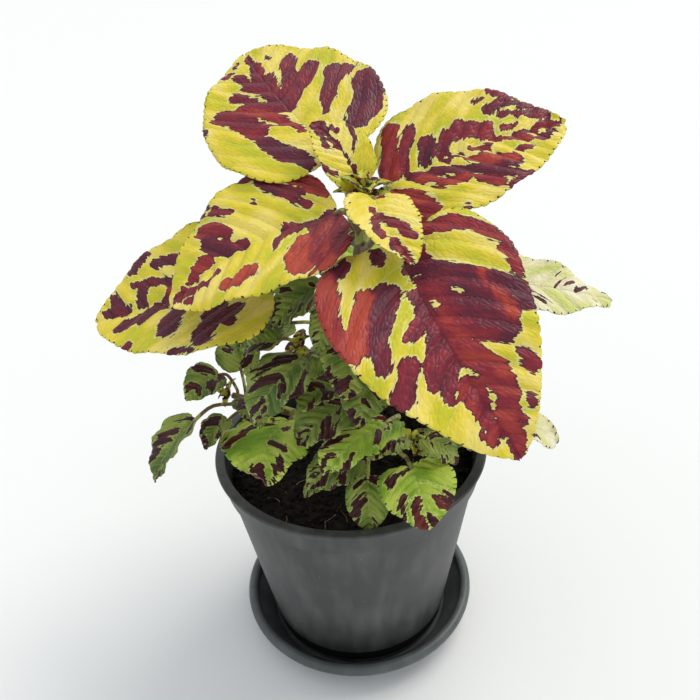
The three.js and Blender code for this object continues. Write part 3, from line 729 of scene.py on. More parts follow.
@dataclass
class Leaf:
    """One leaf with its petiole: a closed blade with teeth, quilting and ribs."""

    node: str
    look: LeafLook
    thickness: float = 0.34
    tooth: float = 3.9  # length of one tooth of the margin
    tooth_depth: float = 1.0
    rows_per_tooth: int = 6
    columns: int = 41
    small_half: float = 19.0  # a leaf with a smaller half width has fewer columns and side veins
    form: BladeForm = field(init=False)
    size: float = field(init=False)  # how coarse the details are, 1 on a large leaf
    vein_step: float = field(init=False)  # distance between side veins along the midrib

    def __post_init__(self) -> None:
        """Measure the CAD leaf and scale the details of a small one."""
        self.form = BladeForm.of(self.node)
        self.size = min(1.0, self.form.half / 30) ** 0.6
        if self.form.half < self.small_half:
            self.columns = 27
        self.tooth *= 0.45 + 0.55 * self.size
        self.tooth_depth *= self.size
        self.vein_step = self.form.length / (10 if self.form.half > self.small_half else 8)

    def rows(self) -> tuple[np.ndarray, np.ndarray]:
        """Space the blade's rows evenly along its margin.

        Returns:
            Each row's share of the blade's length, and its distance along the margin.
        """
        fine = (1 - np.cos(np.linspace(0.03, np.pi - 0.05, 1500))) / 2
        edge = self.form.margin(fine)
        run = np.concatenate([[0], np.cumsum(np.linalg.norm(np.diff(edge, axis=0), axis=1))])
        teeth = max(9, round(run[-1] / self.tooth))
        at = np.linspace(0, run[-1], teeth * self.rows_per_tooth + 1)
        return np.interp(at, run, fine), at / (run[-1] / teeth)

    def relief(self, t: np.ndarray, x: np.ndarray, u: np.ndarray, s: np.ndarray) -> np.ndarray:
        """Give the height of the quilting, in mm, above the smooth blade.

        Args:
            t: Distance along the midrib at which each place's side vein starts.
            x: Distance from the midrib, below zero on the left.
            u: Share of the blade's length.
            s: Share of its half width.

        Returns:
            The height at each place.
        """
        step = self.vein_step
        phase = t / step
        off_vein = np.abs(phase - np.round(phase)) * step
        pillow = np.sin(np.pi * phase) ** 2
        ladder = np.abs(np.sin(np.pi * (np.abs(x) / (0.62 * step) + 0.37 * np.floor(phase)
                                        + 0.5 * value_noise(phase, x / 6, self.look.seed))))
        pillow = pillow ** 0.7 * (0.55 + 0.45 * ladder ** 0.7)
        groove = np.exp(-(off_vein / 0.8) ** 2)
        rib = np.exp(-(x / 1.1) ** 2) * (1 - 0.6 * u)
        wrinkle = value_noise(x / 2.6, t / 2.6, self.look.seed + 5)
        fade = 1 - 0.6 * np.abs(s) ** 6
        return self.size * fade * (1.15 * pillow - 0.3 * groove - 0.7 * rib + 0.12 * wrinkle)

    def surface(self, u: np.ndarray, s: np.ndarray, teeth: np.ndarray) -> tuple[np.ndarray, ...]:
        """Give the blade's smooth middle surface with its toothed margin.

        Args:
            u: Share of the length of each row.
            s: Share of the half width of each column, from -1 to 1.
            teeth: Each row's place along the margin, counted in teeth.

        Returns:
            The places, the distances across and along from the base, the side vein coordinate and how far
            each row is from a notch, from 0 to 1.
        """
        form, look = self.form, self.look
        half = form.half_at(u)[:, None]
        side = np.abs(s)[None, :]
        sign = np.sign(s)[None, :]
        edge = form.margin(u)
        tangent = np.gradient(edge, axis=0)
        tangent /= np.linalg.norm(tangent, axis=1)[:, None]
        phase = teeth[:, None] + np.where(sign < 0, 0.37, 0.0) + 0.35 * look.seed
        notch = np.abs(np.sin(np.pi * (phase + 0.12 * np.sin(2 * np.pi * phase)))) ** 0.75
        uneven = 0.75 + 0.35 * value_noise(phase * 0.4, sign + 0 * phase, look.seed)
        weight = smoothstep(0.84, 1.0, side)
        push = self.tooth_depth * uneven * (notch - 0.6) * weight
        x = half * np.broadcast_to(s[None, :], (len(u), len(s))) + sign * push * tangent[:, 1:2]
        back = form.lobe * half * (1 - u[:, None]) ** 4 * side
        y = u[:, None] * form.length - back - push * tangent[:, 0:1]

        soft = np.sqrt(side ** 2 + 0.002) - math.sqrt(0.002)
        lift = half * (form.fold * soft - form.curl * side ** 2)
        swell = value_noise(u[:, None] * 3.1 + 9, sign * 1.5 + 0 * side, look.seed + 2)
        ripple = np.sin(2 * np.pi * (3.4 * u[:, None] + 0.23 * sign + 0.17 * look.seed))
        lift = lift + form.half * look.wave * side ** 3 * (0.7 * ripple + 0.9 * swell)
        bow = np.sin(np.pi * u)[:, None]
        place = (form.base + form.along * y[..., None]
                 + form.right * (x + form.sway * bow)[..., None]
                 + form.up * (lift + form.arch * bow)[..., None])
        flat = half * s[None, :]
        t = u[:, None] * form.length - 0.52 * np.abs(flat) - 0.42 * flat ** 2 / form.half
        return place, flat, np.broadcast_to(u[:, None] * form.length, flat.shape), t, notch

    def strokes(self) -> list[Stroke]:
        """Gather the leaf's own strokes and those that its seed lays along the side veins.

        Returns:
            All the strokes.
        """
        chosen = list(self.look.strokes)
        rng = np.random.default_rng(self.look.seed)
        scale = self.form.half / 20
        for number in range(self.look.random):
            side = 1 if (number + self.look.seed) % 2 else -1
            foot = rng.uniform(-0.1, 0.85)
            near, far = sorted(rng.uniform(0.04, 0.98, 2))
            far = min(0.98, max(far, near + 0.25))
            path = []
            for share in (near, (near + far) / 2, far):
                lean = (0.52 * share + 0.42 * share ** 2) * self.form.half / self.form.length
                path.append((float(np.clip(foot + lean, 0.02, 0.97)), side * share))
            width = rng.uniform(1.0, 2.9) * self.look.bold * scale ** 0.7
            tone = float(np.clip(self.look.tone + rng.normal(0, 0.22), 0, 1))
            chosen.append(Stroke(tuple(path), width * rng.uniform(0.4, 1), width, tone))
        return chosen

    def blotches(self, x: np.ndarray, y: np.ndarray) -> tuple[np.ndarray, np.ndarray]:
        """Lay the strokes on the blade.

        Args:
            x: Distance from the midrib of each place.
            y: Distance along the midrib.

        Returns:
            How far inside a blotch each place lies, in mm, and the blotch's tone there.
        """
        inside = np.full(x.shape, -6.0)
        tone = np.full(x.shape, self.look.tone)
        for stroke in self.strokes():
            u, s = np.array(stroke.path, float).T
            corner = np.stack([s * self.form.half_at(np.clip(u, 0.004, 0.996)), u * self.form.length])
            links = max(1, corner.shape[1] - 1)
            best = np.full(x.shape, -6.0)
            for k in range(links):
                start, end = corner[:, k], corner[:, min(k + 1, corner.shape[1] - 1)]
                run = end - start
                share = ((x - start[0]) * run[0] + (y - start[1]) * run[1]) / (run @ run + 1e-9)
                share = np.clip(share, 0, 1)
                off = np.hypot(x - start[0] - share * run[0], y - start[1] - share * run[1])
                reach = stroke.start + (stroke.end - stroke.start) * (k + share) / links
                best = np.maximum(best, reach - off)
            weight = smoothstep(-1.5, 1.5, best - inside)
            tone = np.where(best > -2.5, tone * (1 - weight) + stroke.tone * weight, tone)
            inside = np.maximum(inside, best)
        return np.clip(inside, -6, 6), tone

    def petiole_line(self, stems: list[np.ndarray]) -> tuple[np.ndarray, np.ndarray]:
        """Lead the petiole from its stem's centre under the blade and on as its main rib.

        Args:
            stems: The centre line of each stem.

        Returns:
            The points of the line, and its radius at each.
        """
        form = self.form
        on_stems = np.concatenate(stems)
        foot = form.petiole[0]
        root = on_stems[np.linalg.norm(on_stems - foot, axis=1).argmin()]
        rib_u = np.array([0.06, 0.2, 0.4, 0.6, 0.78])
        bow = np.sin(np.pi * rib_u)[:, None]
        rib = (form.base + form.along * (rib_u * form.length)[:, None]
               + form.up * (form.arch * bow) + form.right * (form.sway * bow))
        radius = form.petiole_radius
        rib_radius = radius * np.array([0.8, 0.62, 0.45, 0.32, 0.2])
        rib = rib - form.up * (rib_radius * 0.95 + 0.45 * self.size)[:, None]
        line = np.concatenate([[root], form.petiole, rib])
        radii = np.concatenate([[radius * 1.25], np.full(len(form.petiole), radius), rib_radius])
        return line, radii

    def build(self, tube: bpy.types.NodeTree, stems: list[np.ndarray],
              materials: list[bpy.types.Material]) -> bpy.types.Object:
        """Build the leaf as one closed blade with its petiole.

        Args:
            tube: The tree that draws a tube along a line.
            stems: The centre line of each stem.
            materials: The blade's upper skin, its lower skin and the petiole's.

        Returns:
            The finished piece.
        """
        u, teeth = self.rows()
        s = np.linspace(-1, 1, self.columns)
        place, x, y, t, notch = self.surface(u, s, teeth)
        normal = np.cross(np.gradient(place, axis=1), np.gradient(place, axis=0))
        normal /= np.linalg.norm(normal, axis=2)[..., None]
        raised = self.relief(t, x, u[:, None], s[None, :])
        thick = self.thickness * (1 - 0.45 * np.abs(s[None, :]) ** 8) * (0.6 + 0.4 * self.size)
        top = place + normal * (raised + thick / 2)[..., None]
        under = place + normal * (raised - thick / 2)[..., None]
        rows, columns = x.shape
        count = rows * columns
        faces = grid_faces(rows, columns)
        upper = len(faces)
        faces += grid_faces(rows, columns, count, turned=True)
        left = np.arange(rows) * columns
        right = left + columns - 1
        first = np.arange(columns)
        last = first + (rows - 1) * columns
        for rim in (right, left[::-1], first, last[::-1]):
            here, after = rim[:-1], rim[1:]
            faces += np.stack([here, here + count, after + count, after], axis=1).tolist()
        blade_faces = len(faces)

        line, radii = self.petiole_line(stems)
        stalk = tube_along(tube, [line], [radii], sides=8, square=False)
        points = np.concatenate([top.reshape(-1, 3), under.reshape(-1, 3), stalk[0]])
        faces += [[corner + 2 * count for corner in face] for face in stalk[1]]
        piece = make_piece(self.node.replace("leaf", "blade") + "_with_petiole", points, faces, materials)
        slots = np.ones(len(faces), int)
        slots[:upper] = 0
        slots[blade_faces:] = 2
        piece.data.polygons.foreach_set("material_index", slots)
        inside, tone = self.blotches(x, y)
        edge = (1 - np.abs(s)[None, :]) * self.form.half_at(u)[:, None]
        fields = {"blotch": inside, "tone": tone, "margin": edge, "notch": notch + 0 * x,
                  "vein_step": np.full(x.shape, self.vein_step)}
        rest = len(points) - 2 * count
        for name, values in fields.items():
            attribute = piece.data.attributes.new(name, "FLOAT", "POINT")
            flat = np.concatenate([values.ravel(), values.ravel(), np.zeros(rest)])
            attribute.data.foreach_set("value", flat)
        chart = np.concatenate([np.stack([t, x], axis=-1).reshape(-1, 2)] * 2 + [np.zeros((rest, 2))])
        corner = np.empty(len(piece.data.loops), int)
        piece.data.loops.foreach_get("vertex_index", corner)
        # Each leaf has its own stretch of the noise.
        chart = chart + np.array([self.vein_step * 40.0 * (self.look.seed % 23), 0.0])
        uv = piece.data.uv_layers.new(name="veins_mm")
        uv.data.foreach_set("uv", chart[corner].ravel())
        return piece


def tube_tree() -> bpy.types.NodeTree:
    """Make the tree that draws tubes along lines of edges, as thick as each point's radius says.

    Returns:
        The tree, with the number of sides and the roundness of a square section as inputs.
    """
    tree, given, result = geometry_tree("tube_along_line", Sides="NodeSocketInt", Square="NodeSocketBool",
                                        Steps="NodeSocketInt", Material="NodeSocketMaterial")
    radius = add(tree, "GeometryNodeInputNamedAttribute", {"Name": "radius"}, data_type="FLOAT")
    line = add(tree, "GeometryNodeMeshToCurve", {0: given.outputs["Geometry"]})
    line = add(tree, "GeometryNodeCurveSplineType", {0: line}, spline_type="CATMULL_ROM")
    line = add(tree, "GeometryNodeSetSplineResolution", {0: line, 2: given.outputs["Steps"]})
    round_section = add(tree, "GeometryNodeCurvePrimitiveCircle", {0: given.outputs["Sides"], 4: 1.0})
    square = add(tree, "GeometryNodeCurvePrimitiveQuadrilateral", {0: 1.76, 1: 1.76})
    square = add(tree, "GeometryNodeFilletCurve", {0: square, "Count": 3, "Radius": 0.36}, mode="POLY")
    section = add(tree, "GeometryNodeSwitch", {"Switch": given.outputs["Square"], "False": round_section,
                                               "True": square}, input_type="GEOMETRY")
    tube = add(tree, "GeometryNodeCurveToMesh", {0: line, 1: section, 2: radius, 3: True})
    tube = add(tree, "GeometryNodeSetShadeSmooth", {0: tube})
    tube = add(tree, "GeometryNodeRealizeInstances", {0: tube})
    tube = add(tree, "GeometryNodeSetMaterial", {0: tube, 2: given.outputs["Material"]})
    tree.links.new(tube.outputs[0], result.inputs[0])
    return tree


def tube_along(tree: bpy.types.NodeTree, lines: list[np.ndarray], radii: list[np.ndarray], sides: int,
               square: bool, steps: int = 4) -> tuple[np.ndarray, list]:
    """Draw tubes along lines.

    Args:
        tree: The tree from tube_tree.
        lines: The points of each line in millimetres.
        radii: The radius at each point.
        sides: Facets round a tube.
        square: Whether the section is a rounded square.
        steps: Facets between one point and the next.

    Returns:
        The corners in millimetres and the faces.
    """
    mesh = bpy.data.meshes.new("line")
    points = np.concatenate(lines) * MM
    edges, start = [], 0
    for line in lines:
        edges += [(start + k, start + k + 1) for k in range(len(line) - 1)]
        start += len(line)
    mesh.from_pydata(points.tolist(), edges, [])
    mesh.attributes.new("radius", "FLOAT", "POINT").data.foreach_set("value", np.concatenate(radii) * MM)
    holder = bpy.data.objects.new("line", mesh)
    bpy.context.scene.collection.objects.link(holder)
    grown(holder, tree, Sides=sides, Square=square, Steps=steps)
    corners = np.empty(len(holder.data.vertices) * 3)
    holder.data.vertices.foreach_get("co", corners)
    faces = [list(face.vertices) for face in holder.data.polygons]
    bpy.data.objects.remove(holder)
    return corners.reshape(-1, 3) / MM, faces


# ---- Growing tips and stems --------------------------------------------------------------------------


@dataclass
class Rosette:
    """The cluster of unopened leaflets at a growing tip, in crossed pairs, youngest in the middle."""

    node: str
    pairs: int
    longest: float
    height: float
    seed: int

    @staticmethod
    def tree() -> bpy.types.NodeTree:
        """Make the tree that sets copies of one leaflet, 1 m long, in crossed pairs round an axis.

        Returns:
            The tree.
        """
        tree, given, result = geometry_tree(
            "crossed_pairs", Pairs="NodeSocketInt", Longest="NodeSocketFloat", Height="NodeSocketFloat",
            Foot="NodeSocketVector", Lean="NodeSocketVector", Seed="NodeSocketInt",
            Material="NodeSocketMaterial")
        pairs = given.outputs["Pairs"]
        count = add(tree, "ShaderNodeMath", {0: pairs, 1: 2.0}, operation="MULTIPLY")
        index = add(tree, "GeometryNodeInputIndex")
        pair = add(tree, "ShaderNodeMath", {0: index, 1: 0.5}, operation="MULTIPLY")
        pair = add(tree, "ShaderNodeMath", {0: pair}, operation="FLOOR")
        side = add(tree, "ShaderNodeMath", {0: index, 1: 2.0}, operation="MODULO")
        last = add(tree, "ShaderNodeMath", {0: pairs, 1: -1.0}, operation="ADD")
        share = add(tree, "ShaderNodeMath", {0: pair, 1: last}, operation="DIVIDE")
        seed = given.outputs["Seed"]
        wobble = add(tree, "FunctionNodeRandomValue", {0: (-0.28, -0.5, -0.3), 1: (0.28, 0.5, 0.3), 8: seed},
                     data_type="FLOAT_VECTOR")
        spin = add(tree, "ShaderNodeMath", {0: pair, 1: math.pi / 2, 2: 0.6}, operation="MULTIPLY_ADD")
        spin = add(tree, "ShaderNodeMath", {0: side, 1: math.pi, 2: spin}, operation="MULTIPLY_ADD")
        pitch = add(tree, "ShaderNodeMapRange", {0: share, 3: math.radians(80), 4: math.radians(14)})
        turn = add(tree, "ShaderNodeCombineXYZ", {0: pitch, 2: spin})
        turn = add(tree, "ShaderNodeVectorMath", {0: turn, 1: wobble}, operation="ADD")
        turn = add(tree, "FunctionNodeEulerToRotation", {0: turn})
        size = add(tree, "ShaderNodeMapRange", {0: share, 3: 0.26, 4: 1.0})
        uneven = add(tree, "FunctionNodeRandomValue", {2: 0.8, 3: 1.1, 8: seed}, data_type="FLOAT")
        size = add(tree, "ShaderNodeMath", {0: size, 1: uneven.outputs[1]}, operation="MULTIPLY")
        size = add(tree, "ShaderNodeMath", {0: size, 1: given.outputs["Longest"]}, operation="MULTIPLY")
        height = given.outputs["Height"]
        top = add(tree, "ShaderNodeCombineXYZ", {2: height})
        drop = add(tree, "ShaderNodeMath", {0: height, 1: count}, operation="DIVIDE")
        drop = add(tree, "ShaderNodeMath", {0: drop, 1: -1.0}, operation="MULTIPLY")
        drop = add(tree, "ShaderNodeCombineXYZ", {2: drop})
        points = add(tree, "GeometryNodeMeshLine", {"Count": count, "Start Location": top, "Offset": drop})
        leaflets = add(tree, "GeometryNodeInstanceOnPoints", {
            "Points": points, "Instance": given.outputs["Geometry"], "Rotation": turn, "Scale": size})
        cluster = add(tree, "GeometryNodeRealizeInstances", {0: leaflets})
        lean = add(tree, "FunctionNodeEulerToRotation", {0: given.outputs["Lean"]})
        cluster = add(tree, "GeometryNodeTransform", {0: cluster, "Translation": given.outputs["Foot"],
                                                      "Rotation": lean})
        cluster = add(tree, "GeometryNodeSetShadeSmooth", {0: cluster})
        cluster = add(tree, "GeometryNodeSetMaterial", {0: cluster, 2: given.outputs["Material"]})
        tree.links.new(cluster.outputs[0], result.inputs[0])
        return tree

    @staticmethod
    def leaflet() -> tuple[np.ndarray, list]:
        """Draw one folded, puckered leaflet along +Y from the origin, 1000 mm long.

        Returns:
            Its corners and faces, closed.
        """
        rows, columns = 13, 9
        u = np.linspace(0.0, 1.0, rows)[:, None]
        s = np.linspace(-1, 1, columns)[None, :]
        half = 330 * np.sin(np.pi * np.clip(0.06 + 0.92 * u, 0, 1)) ** 0.7
        x = half * s * (1 + 0.09 * np.sin(9 * np.pi * u) * np.abs(s) ** 3)
        y = 1000 * u + 0 * s
        z = 150 * np.abs(s) * half / 330 + 120 * np.sin(np.pi * u) - 160 * u ** 2
        z = z + 34 * np.sin(7 * np.pi * u + 2 * np.abs(s)) * np.abs(s) * (half / 330)
        top = np.stack([x, y, z], axis=-1).reshape(-1, 3)
        under = top - np.array([0, 0, 34])
        count = rows * columns
        faces = grid_faces(rows, columns) + grid_faces(rows, columns, count, turned=True)
        left = np.arange(rows) * columns
        first = np.arange(columns)
        for rim in (left + columns - 1, left[::-1], first, (first + count - columns)[::-1]):
            here, after = rim[:-1], rim[1:]
            faces += np.stack([here, here + count, after + count, after], axis=1).tolist()
        return np.concatenate([top, under]), faces

    def build(self, tree: bpy.types.NodeTree, axis: np.ndarray,
              material: bpy.types.Material) -> bpy.types.Object:
        """Set the cluster on the end of its stem.

        Args:
            tree: The tree from tree().
            axis: The stem's centre line, foot first.
            material: The leaflets' skin.

        Returns:
            The finished piece.
        """
        points, faces = self.leaflet()
        piece = make_piece(self.node + "_leaflets", points, faces, [material])
        direction = Vector(axis[-1] - axis[-2]).normalized()
        lean = direction.to_track_quat("Z", "Y").to_euler()
        foot = Vector(axis[-1]) * MM
        grown(piece, tree, Pairs=self.pairs, Longest=self.longest * MM, Height=self.height * MM,
              Foot=tuple(foot), Lean=tuple(lean), Seed=self.seed, Material=material)
        return piece


@dataclass
class Stems:
    """The square main stem and its five side shoots."""

    names: tuple[str, ...] = ("main_stem", "side_shoot_left", "side_shoot_front_left",
                              "side_shoot_front_right", "side_shoot_right", "side_shoot_back")
    cuts: int = 13
    joint_swelling: float = 0.14  # how much thicker a stem is where leaves leave it
    joint_spacing: float = 24.0

    def lines(self) -> dict[str, tuple[np.ndarray, np.ndarray]]:
        """Read each stem's centre line and radius, with the side shoots led into the main stem.

        Returns:
            For each stem, the points from the foot up and the radius at each.
        """
        lines = {}
        for name in self.names:
            centres, radii = centre_line(name, self.cuts)
            foot = centres[0] - (centres[1] - centres[0]) / np.linalg.norm(centres[1] - centres[0]) * 4.5
            end = centres[-1] + (centres[-1] - centres[-2]) / np.linalg.norm(centres[-1] - centres[-2]) * 1.6
            lines[name] = (np.concatenate([[foot], centres, [end]]),
                           np.concatenate([[radii[0] * 1.12], radii, [radii[-1] * 0.85]]))
        return lines

    def build(self, name: str, line: np.ndarray, radius: np.ndarray, tube: bpy.types.NodeTree,
              material: bpy.types.Material) -> bpy.types.Object:
        """Build one stem as a rounded square tube that swells at its joints.

        Args:
            name: The stem's CAD node.
            line: Its centre line.
            radius: Its radius along the line.
            tube: The tree that draws a tube along a line.
            material: The stem's skin.

        Returns:
            The finished piece.
        """
        run = np.concatenate([[0], np.cumsum(np.linalg.norm(np.diff(line, axis=0), axis=1))])
        at = np.linspace(0, run[-1], max(12, int(run[-1] / 3)))
        fine = np.stack([np.interp(at, run, line[:, k]) for k in range(3)], axis=1)
        swelling = np.exp(-((at % self.joint_spacing - self.joint_spacing / 2) / 3.2) ** 2)
        thick = np.interp(at, run, radius) * (1 + self.joint_swelling * swelling)
        points, faces = tube_along(tube, [fine], [thick], sides=12, square=True, steps=2)
        return make_piece(name + "_skin", points, faces, [material])


# ---- Pot, saucer and soil --------------------------------------------------------------------------------


@dataclass
class Pot:
    """The round nursery pot: a thin tapering wall, a deeper collar and a rolled lip."""

    steps: int = 192
    lip_width: float = 5.0
    lip_thickness: float = 2.2
    collar_height: float = 13.5
    collar_top: float = 68.6
    collar_foot: float = 66.6
    wall_top: float = 64.6
    wall_foot: float = 48.6
    wall: float = 1.4
    foot_depth: float = 1.6
    drain_holes: int = 6
    drain_radius: float = 4.0
    drain_circle: float = 26.0

    def build(self, material: bpy.types.Material) -> bpy.types.Object:
        """Turn the pot's profile and drill its drain holes.

        Args:
            material: The plastic.

        Returns:
            The finished piece.
        """
        low, high = (Vector(corner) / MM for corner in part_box("pot"))
        foot, top, rim = low.z, high.z, high.x
        collar = top - self.collar_height
        floor = foot + self.foot_depth + 1.6
        half_lip = self.lip_thickness / 2
        inner = rim - self.lip_width
        profile = [
            (0, foot + self.foot_depth), (self.wall_foot - 6.2, foot + self.foot_depth),
            (self.wall_foot - 5.6, foot + 1.3), (self.wall_foot - 5.2, foot + 0.2),
            (self.wall_foot - 4.8, foot),
            (self.wall_foot - 2.2, foot), *arc((self.wall_foot - 1.9, foot + 1.9), 1.9, -90, -8, 5),
            (self.wall_foot + 0.15, foot + 3), (self.wall_top - 0.1, collar - 2.4),
            (self.wall_top, collar - 0.5),
            (self.wall_top + 0.35, collar - 0.08), (self.wall_top + 0.8, collar),
            (self.collar_foot - 0.5, collar), *arc((self.collar_foot - 0.5, collar + 0.5), 0.5, -60, 0, 3),
            (self.collar_foot + 0.1, collar + 1.6), (self.collar_top - 0.2, top - self.lip_thickness - 1.0),
            (self.collar_top - 0.05, top - self.lip_thickness - 0.3),
            (self.collar_top + 0.3, top - self.lip_thickness),
            *arc((rim - half_lip, top - half_lip), half_lip, -80, 90, 8),
            (rim - 2.6, top + 0.0), *arc((inner + 0.8, top - 0.8), 0.8, 90, 180, 4),
            (inner - 0.1, top - 3), (inner - 0.5, collar), (self.wall_top - self.wall, collar - 2.5),
            (self.wall_foot - self.wall + 0.6, floor + 4), (self.wall_foot - self.wall - 0.6, floor + 1.2),
            (self.wall_foot - self.wall - 2.6, floor), (0, floor),
        ]
        points, faces = lathe(profile, self.steps)
        piece = make_piece("nursery_pot", points, faces, [material])
        drills = []
        for k in range(self.drain_holes):
            angle = 2 * math.pi * k / self.drain_holes
            spot = Vector((self.drain_circle * math.cos(angle), self.drain_circle * math.sin(angle), floor))
            bpy.ops.mesh.primitive_cylinder_add(vertices=32, radius=self.drain_radius * MM, depth=10 * MM,
                                                location=spot * MM)
            drills.append(bpy.context.object)
        for drill in drills:
            cut = piece.modifiers.new("drain_hole", "BOOLEAN")
            cut.object = drill
            cut.operation = "DIFFERENCE"
        evaluated = piece.evaluated_get(bpy.context.evaluated_depsgraph_get())
        drilled = bpy.data.meshes.new_from_object(evaluated)
        piece.modifiers.clear()
        piece.data = drilled
        for drill in drills:
            bpy.data.objects.remove(drill)
        crisp(piece, 32)
        return piece


@dataclass
class Saucer:
    """The round drip saucer: a flat floor and a flaring wall with a thick rounded lip."""

    steps: int = 192
    base: float = 51.0
    floor: float = 2.0
    lip: float = 5.6
    lip_inset: float = 3.4
    wall: float = 2.0

    def build(self, material: bpy.types.Material) -> bpy.types.Object:
        """Turn the saucer's profile.

        Args:
            material: The plastic.

        Returns:
            The finished piece.
        """
        _, high = (Vector(corner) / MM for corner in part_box("saucer"))
        rim, height = high.x, high.z
        round_lip = self.lip / 2
        neck = rim - self.lip_inset
        profile = [
            (0, 0.5), (self.base - 7.6, 0.5), (self.base - 7, 0.35), (self.base - 6.5, 0),
            (self.base - 1.4, 0),
            *arc((self.base - 1.3, 1.3), 1.3, -90, -20, 4),
            (neck - 0.9, height - self.lip - 1.3), (neck - 0.1, height - self.lip - 0.2),
            *arc((rim - round_lip, height - round_lip), round_lip, -42, 215, 18),
            (neck - self.wall - 0.3, height - self.lip - 0.8), (self.base + 0.2, self.floor + 2.6),
            (self.base - 0.8, self.floor + 0.9), (self.base - 2.6, self.floor + 0.1),
            (self.base - 4, self.floor), (self.base - 12, self.floor), (self.base - 12.6, self.floor + 0.5),
            (self.base - 13.8, self.floor + 0.5), (self.base - 14.4, self.floor), (0, self.floor),
        ]
        points, faces = lathe(profile, self.steps)
        piece = make_piece("drip_saucer", points, faces, [material])
        crisp(piece, 32)
        return piece


def crisp(piece: bpy.types.Object, degrees: float) -> None:
    """Shade a piece smooth except across edges sharper than this angle."""
    mesh = piece.data
    mesh.polygons.foreach_set("use_smooth", [True] * len(mesh.polygons))
    mesh.set_sharp_from_angle(angle=math.radians(degrees))


